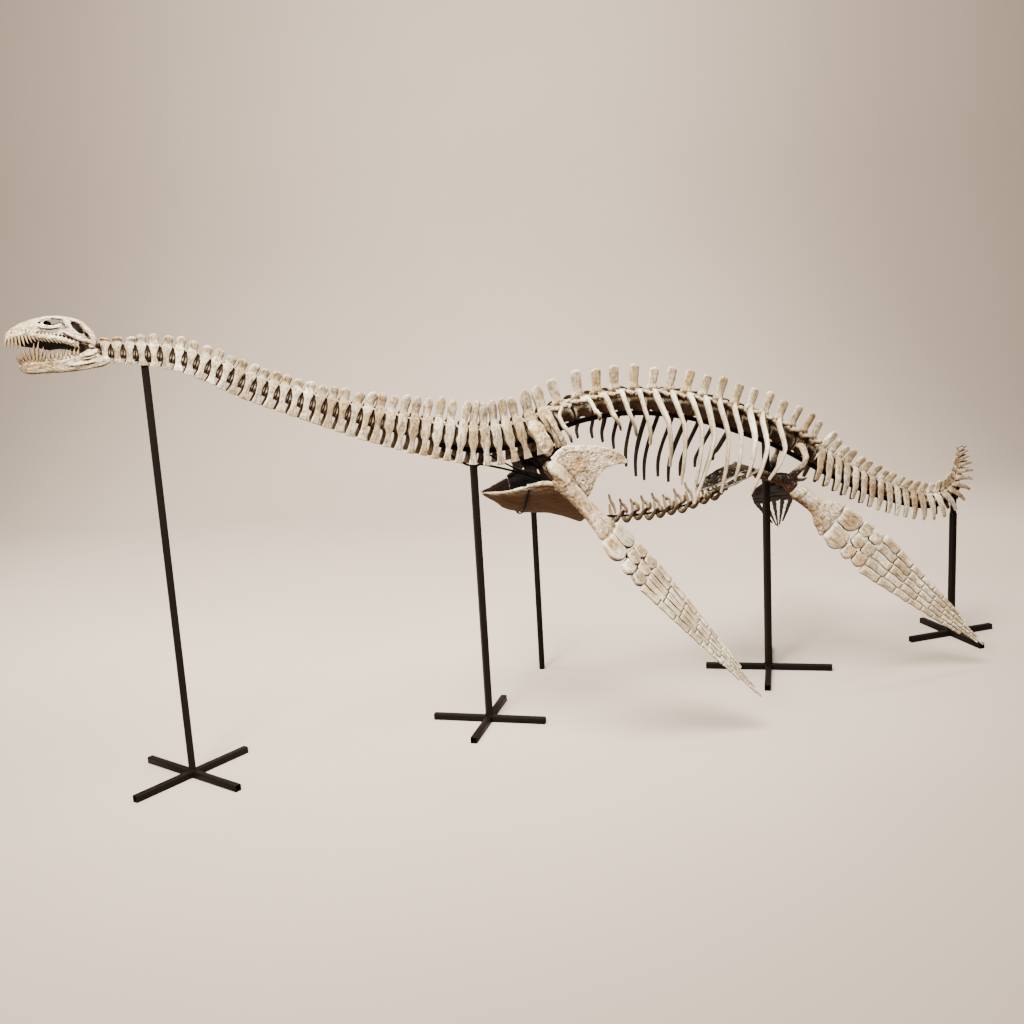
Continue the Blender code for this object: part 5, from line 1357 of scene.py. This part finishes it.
def belly_basket():
    """Belly ribs: in each row a middle bone bent like a V and two side bones against its arms, wired to the rod."""
    lines, wires = [], []
    for k in range(10):
        x = -0.655 + 0.0490 * k
        rod = float(np.interp(x, [p[0] for p in ROD_PATH], [p[2] for p in ROD_PATH]))
        wide = 0.082 + 0.014 * math.sin(k * 0.37)
        low = rod - 0.018 - 0.003 * math.sin(2.3 * k)
        turn = chance.uniform(-0.004, 0.004)
        t_like = Vector((1, 0, 0.12)).normalized()
        half = [(0.0, 0.0, 0.0), (0.001, 0.022, 0.007), (0.003, 0.046, 0.028), (0.006, 0.062, 0.052)]
        middle = [Vector((x + dx, -y, low + dz)) for dx, y, dz in reversed(half)]
        middle += [Vector((x + dx + turn * (dz / 0.05), y, low + dz)) for dx, y, dz in half[1:]]
        lines.append({"points": middle, "thick": [0.0050, 0.0080, 0.0094, 0.0100, 0.0094, 0.0080, 0.0050],
                      "flat": t_like,
                      "tone": chance.uniform(0.3, 1.0)})
        for s in (-1, 1):
            rise = 0.074 + 0.012 * math.sin(1.9 * k + s) + chance.uniform(-0.006, 0.006)
            side = [Vector((x + 0.020, s * 0.030, low + 0.020)), Vector((x + 0.022, s * 0.052, low + 0.046)),
                    Vector((x + 0.020, s * wide * 0.92, low + rise * 0.72)), Vector((x + 0.016, s * wide, low + rise))]
            lines.append({"points": side, "thick": [0.0046, 0.0074, 0.0070, 0.0050], "flat": t_like,
                          "tone": chance.uniform(0.1, 0.8)})
        wires.append(strand([(x, 0.0015, rod + 0.004), (x + 0.0005, 0.0060, rod - 0.008), (x, 0.0075, low + 0.004),
                             (x, 0, low - 0.0085), (x, -0.0075, low + 0.004), (x, -0.0060, rod - 0.008),
                             (x, -0.0015, rod + 0.004)],
                            [(0.0011, 0.0011)] * 7, ALONG, 6, 3))
    finish_bone(bars("belly_rib_bones", lines, BONE_BROWN, flatness=0.85, points=24, sides=10), ["belly_ribs"],
                BONE_BROWN)
    finish_steel("belly_rib_wires", wires, "stand_belly_rod")


# Display stands

TUBE = 0.0125  # half the side of the square tube
FOOT_HALF = {"neck": 0.250, "shoulder": 0.225, "hip": 0.262, "tail": 0.212}
STAND_X = {"neck": -2.358, "shoulder": -1.2215, "hip": 0.030, "tail": 0.966}
STAND_TURN = {"neck": 33.0, "shoulder": -34.0, "hip": -32.0, "tail": -2.0}
BAR_DEPTH = 0.018  # of the flat bar under the backbone
GAP = 0.0003  # clearance between one steel piece and the next


def box_ring(centre, u, v, a, b, corner):
    """Rectangle with rounded corners, four points a corner."""
    ring = []
    for k, (sa, sb) in enumerate(((1, 1), (-1, 1), (-1, -1), (1, -1))):
        for step in range(4):
            turn = math.pi / 2 * (k + step / 3)
            ring.append(centre + u * (sa * (a - corner) + corner * math.cos(turn))
                        + v * (sb * (b - corner) + corner * math.sin(turn)))
    return ring


def square_tube(start, end, side, half=TUBE, wall=0.002):
    """Open-ended square tube, as one closed body."""
    start, end = Vector(start), Vector(end)
    way = (end - start).normalized()
    up = way.cross(side)
    rings = [box_ring(p, side, up, half, half, 0.003) for p in (start, start + way * 0.0006, end - way * 0.0006, end)]
    rings[0] = box_ring(start, side, up, half - 0.0005, half - 0.0005, 0.0028)
    rings[3] = box_ring(end, side, up, half - 0.0005, half - 0.0005, 0.0028)
    inner = [box_ring(p, side, up, half - wall, half - wall, 0.0015) for p in (end, start)]
    rings += inner
    count = len(rings[0])
    points = np.array([tuple(p) for ring in rings for p in ring])
    faces = []
    for r in range(len(rings)):
        after = (r + 1) % len(rings)
        for i in range(count):
            j = (i + 1) % count
            faces.append((r * count + i, r * count + j, after * count + j, after * count + i))
    mesh = bpy.data.meshes.new("tube")
    mesh.from_pydata(points.tolist(), [], faces)
    work = bmesh.new()
    work.from_mesh(mesh)
    bmesh.ops.recalc_face_normals(work, faces=work.faces)
    work.to_mesh(mesh)
    work.free()
    faces = [tuple(p.vertices) for p in mesh.polygons]
    bpy.data.meshes.remove(mesh)
    return points, faces


def weld(points, size=0.0022):
    """Lumpy bead of weld along a line."""
    made = []
    for a, b in zip(points, points[1:]):
        a, b = Vector(a), Vector(b)
        count = max(int((b - a).length / 0.004), 2)
        line = [a + (b - a) * k / count for k in range(count + 1)]
        sizes = [(size * (1 + 0.25 * math.sin(2.4 * k)),) * 2 for k in range(count + 1)]
        made.append(strand(line, sizes, UP if abs((b - a).normalized().z) < 0.9 else ACROSS, 8, 2))
    return made


def under(s, drop):
    return backbone(s, above=-(ramp(BODY_RADIUS, s) * 0.866 + drop))


def spine_bar(name, first, last, half=0.010):
    rings = []
    start, end = JOINTS[first] + GAP / 2, JOINTS[last] - GAP / 2
    for k in range(4 * (last - first) + 1):
        s = start + (end - start) * k / (4 * (last - first))
        point, _, up = under(s, GAP + BAR_DEPTH / 2)
        rings.append(box_ring(point, ACROSS, up, half, BAR_DEPTH / 2, 0.0022))
    return finish_steel(name + "_steel", [loft(rings)], name)


def finish_steel(name, shapes, node):
    obj = linked(name, mesh_from(name, shapes))
    obj.data.transform(Matrix.Translation(SHIFT))
    obj.data.materials.append(STEEL)
    obj.data.polygons.foreach_set("use_smooth", [True] * len(obj.data.polygons))
    obj.data.set_sharp_from_angle(angle=math.radians(40))
    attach(obj, "root")
    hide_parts(node)
    return obj


def bar_bottom(x):
    ends = [under(s, GAP + BAR_DEPTH)[0] for s in JOINTS]
    ends = ends[:int(np.argmax([p.x for p in ends]))]
    return float(np.interp(x, [p.x for p in ends], [p.z for p in ends]))


def foot_of(x, turn, half):
    """Two square tubes crossed flat on the floor, one whole and one cut in two and welded on."""
    shapes = []
    centre = Vector((x, 0, TUBE))
    way = Vector((math.cos(math.radians(turn)), math.sin(math.radians(turn)), 0))
    side = Vector((-way.y, way.x, 0))
    shapes.append(square_tube(centre - way * half, centre + way * half, side))
    for sign in (-1, 1):
        shapes.append(square_tube(centre + side * (sign * (TUBE + GAP)), centre + side * (sign * half), way))
        edge = centre + side * (sign * TUBE)
        for end in (-1, 1):
            corner = edge + way * (end * TUBE)
            shapes += weld([corner + Vector((0, 0, -0.009)), corner + Vector((0, 0, 0.011))], 0.0016)
        shapes += weld([edge - way * 0.010 + Vector((0, 0, TUBE)), edge + way * 0.010 + Vector((0, 0, TUBE))], 0.0014)
    for a, b in (((-1, -1), (1, -1)), ((1, -1), (1, 1)), ((1, 1), (-1, 1)), ((-1, 1), (-1, -1))):
        first = Vector((x + a[0] * TUBE, a[1] * TUBE, 2 * TUBE + 0.0010))
        last = Vector((x + b[0] * TUBE, b[1] * TUBE, 2 * TUBE + 0.0010))
        shapes += weld([first, last], 0.0024)
    return shapes


def stand_steel(kind):
    x = STAND_X[kind]
    front, rear = bar_bottom(x - TUBE) - GAP, bar_bottom(x + TUBE) - GAP
    shapes = foot_of(x, STAND_TURN[kind], FOOT_HALF[kind])
    if kind == "neck":
        near = int(np.argmin(np.abs(JOINTS - distance_at(x))))
        rings = []
        for k in range(9):
            point, _, up = under(JOINTS[near - 1] + (JOINTS[near + 1] - JOINTS[near - 1]) * k / 8, GAP + 0.003)
            rings.append(box_ring(point, ACROSS, up, 0.010, 0.003, 0.0012))
        shapes.append(loft(rings))
        front, rear = (under(distance_at(x + d), GAP + 0.004)[0].z for d in (-TUBE, TUBE))
    rings = [box_ring(Vector((x, 0, 2 * TUBE + GAP)), ALONG, ACROSS, TUBE, TUBE, 0.003)]
    if kind == "tail":
        for z, half in ((0.560, TUBE), (0.564, 0.0075)):
            rings.append(box_ring(Vector((x, 0, z)), ALONG, ACROSS, TUBE, half, 0.003))
    last = [p.copy() for p in rings[-1]]
    for p in last:
        p.z = front + (rear - front) * (p.x - x + TUBE) / (2 * TUBE)
    rings.append(last)
    shapes.append(loft(rings))
    # Collar of weld under the bar
    if kind != "neck":
        z = (front + rear) / 2 - 0.002
        for sy in (-1, 1):
            y = 0.0075 if kind == "tail" else 0.0112
            shapes += weld([(x - TUBE, sy * y, front - 0.001), (x + TUBE, sy * y, rear - 0.001)], 0.0022)
    return finish_steel("steel_stand_" + kind, shapes, "stand_" + kind)


def stands():
    for kind in STAND_X:
        stand_steel(kind)
    near = int(np.argmin([abs(backbone(s)[0].x + 1.360) for s in JOINTS[:40]]))
    spine_bar("stand_bar_neck", near, CHEST)
    spine_bar("stand_bar_back", CHEST, HIP)
    spine_bar("stand_bar_tail", HIP, HIP + 18, 0.006)
    x, y, top = -0.818, 0.475, 1.080
    pole = loft([round_ring(Vector((x, y, z)), ALONG, ACROSS, r, r, 24) for z, r in
                 ((GAP, 0.0117), (0.0012, TUBE), (top + 0.0115, TUBE), (top + 0.0125, 0.0117))])
    level = bar_bottom(-1.000) + BAR_DEPTH / 2
    arm = [(x, y, top), (x - 0.06, y - 0.16, top + (level - top) * 0.42), (x - 0.15, y - 0.39, level),
           (-1.000, 0.040, level), (-1.000, 0.0103, level)]
    finish_steel("steel_prop", [pole, strand(arm, [(0.007, 0.007)] * 5, UP, 12)]
                 + weld([(x - 0.008, y - 0.012, top - 0.006), (x + 0.006, y - 0.014, top - 0.006)], 0.0024),
                 "stand_prop")
    rod = [Vector(p) for p in ROD_PATH]
    rod[0] = Vector((STAND_X["shoulder"] + TUBE + GAP, 0, 1.015))
    rod.append(Vector((STAND_X["hip"] - TUBE - GAP, 0, 0.856)))
    shapes = [strand(rod, [(0.0045, 0.0045)] * len(rod), UP, 12, 5)]
    top_x = -1.150
    shapes.append(strand([(top_x, 0, bar_bottom(top_x) - 0.0006), (top_x + 0.004, 0, bar_bottom(top_x) - 0.016),
                          (-0.998, 0, 0.953)],
                         [(0.0036, 0.0036)] * 3, ALONG, 12))
    shapes += weld([(STAND_X["shoulder"] + TUBE, -0.005, 1.011), (STAND_X["shoulder"] + TUBE, -0.005, 1.020)], 0.0020)
    finish_steel("steel_belly_rod", shapes, "stand_belly_rod")
    x, end, z = -1.330, STAND_X["shoulder"] - TUBE - GAP, 1.022
    slope = (bar_bottom(x + 0.004) - bar_bottom(x - 0.004)) / 0.008
    square = Vector((slope, 0, -1)).normalized()
    top_end = Vector((x, 0, bar_bottom(x))) + square * GAP
    run = [top_end, top_end + square * 0.010, (end - 0.020, 0, z + 0.006), (end, 0, z)]
    finish_steel("steel_brace", [strand(run, [(0.0045, 0.0045)] * 4, ACROSS, 12)], "stand_brace")


# Studio

def studio():
    material = bpy.data.materials.new("matte_painted_backdrop")
    material.use_nodes = True
    tree = material.node_tree
    shader = tree.nodes["Principled BSDF"]
    place = add(tree, "ShaderNodeTexCoord").outputs["Object"]
    # Faint clouds about 1.1 m across
    clouds = add(tree, "ShaderNodeTexNoise", Vector=place, Scale=0.9, Detail=6.0, Roughness=0.6)
    spread = add(tree, "ShaderNodeMapRange", Value=clouds.outputs["Fac"], From_Min=0.3, From_Max=0.7)
    tint = add(tree, "ShaderNodeMix", {"data_type": "RGBA"}, Factor_Float=spread.outputs[0], A_Color=colour("#B4A18D"),
               B_Color=colour("#BAA793"))
    # Painted shade: the drop is darker towards its sides and the near floor, a painted falloff of light round the
    # middle
    from_middle = add(tree, "ShaderNodeVectorMath", {"operation": "SUBTRACT"}, Vector=place,
                      Vector_001=(-0.50, 2.8, 0.5))
    squashed = add(tree, "ShaderNodeVectorMath", {"operation": "MULTIPLY"}, Vector=from_middle.outputs[0],
                   Vector_001=(0.29, 0.28, 0.03))
    far = add(tree, "ShaderNodeVectorMath", {"operation": "LENGTH"}, Vector=squashed.outputs[0]).outputs["Value"]
    painted_falloff = add(tree, "ShaderNodeMapRange", {"interpolation_type": "SMOOTHSTEP"}, Value=far, From_Min=0.64,
               From_Max=1.58,
               To_Max=1.0)
    painted = add(tree, "ShaderNodeMix", {"data_type": "RGBA"}, Factor_Float=painted_falloff.outputs[0], A_Color=mixed(tint),
                  B_Color=colour("#857565"))
    tree.links.new(mixed(painted), shader.inputs["Base Color"])
    shader.inputs["Roughness"].default_value = 0.9
    profile = [(-9.0, 0.0)] + [(y, 0.0) for y in np.linspace(-6.0, 4.0, 11)]
    profile += [(4.0 + 2.5 * math.sin(a), 2.5 - 2.5 * math.cos(a)) for a in np.linspace(0.05, math.pi / 2, 24)]
    profile += [(6.5, 9.0)]
    points, faces = [], []
    for y, z in profile:
        points += [(-14.0, y, z), (14.0, y, z)]
    for k in range(len(profile) - 1):
        faces.append((2 * k, 2 * k + 1, 2 * k + 3, 2 * k + 2))
    mesh = bpy.data.meshes.new("floor_and_backdrop")
    mesh.from_pydata(points, [], faces)
    mesh.polygons.foreach_set("use_smooth", [True] * len(faces))
    turn = Matrix.Rotation(math.radians(-19.0), 4, "Z")
    mesh.transform(Matrix.Translation((-0.9, 0, 0)) @ turn)
    stage = linked("floor_and_backdrop", mesh)
    mesh.materials.append(material)

    world = bpy.data.worlds.new("studio")
    bpy.context.scene.world = world
    world.use_nodes = True
    backdrop = world.node_tree.nodes["Background"]
    backdrop.inputs["Color"].default_value = colour("#EDE9E4")
    backdrop.inputs["Strength"].default_value = 0.30
    for name, place, aim, size, power in (("top_softbox", (-1.6, -0.9, 4.4), (-0.9, 0, 0.8), 2.2, 780.0),
                                          ("left_softbox", (-4.4, -3.4, 3.4), (-1.0, 0, 0.9), 1.3, 600.0),
                                          ("backdrop_left", (-3.6, 1.6, 4.6), (-2.2, 5.4, 2.2), 2.6, 450.0),
                                          ("backdrop_right", (1.6, 1.4, 4.6), (1.6, 5.4, 2.2), 2.6, 470.0)):
        lamp = bpy.data.lights.new(name, "AREA")
        lamp.shape, lamp.size, lamp.energy = "SQUARE", size, power
        obj = bpy.data.objects.new(name, lamp)
        obj.location = place
        obj.rotation_euler = (Vector(aim) - Vector(place)).to_track_quat("-Z", "Y").to_euler()
        bpy.context.scene.collection.objects.link(obj)

    # Fitted to the stands' feet and both ends of the skeleton in the photograph
    lens = bpy.data.cameras.new("photo_camera")
    lens.lens, lens.sensor_width = 43.24, 36.0
    camera = bpy.data.objects.new("photo_camera", lens)
    right, up = Vector((0.94006289, -0.33632123, -0.05630094)), Vector((0.12213363, 0.17792225, 0.97643589))
    forward = Vector((0.31837893, 0.92478738, -0.20833424))
    frame_of_view = Matrix((right, up, -forward)).transposed().to_4x4()
    camera.matrix_world = Matrix.Translation((-2.604559, -4.343120, 1.8)) @ frame_of_view
    bpy.context.scene.collection.objects.link(camera)
    bpy.context.scene.camera = camera


head()
jaw_bones()
teeth()
spine_of_bones()
rib_cage()
chest_plates()
hip_girdle()
flippers()
belly_basket()
stands()
studio()
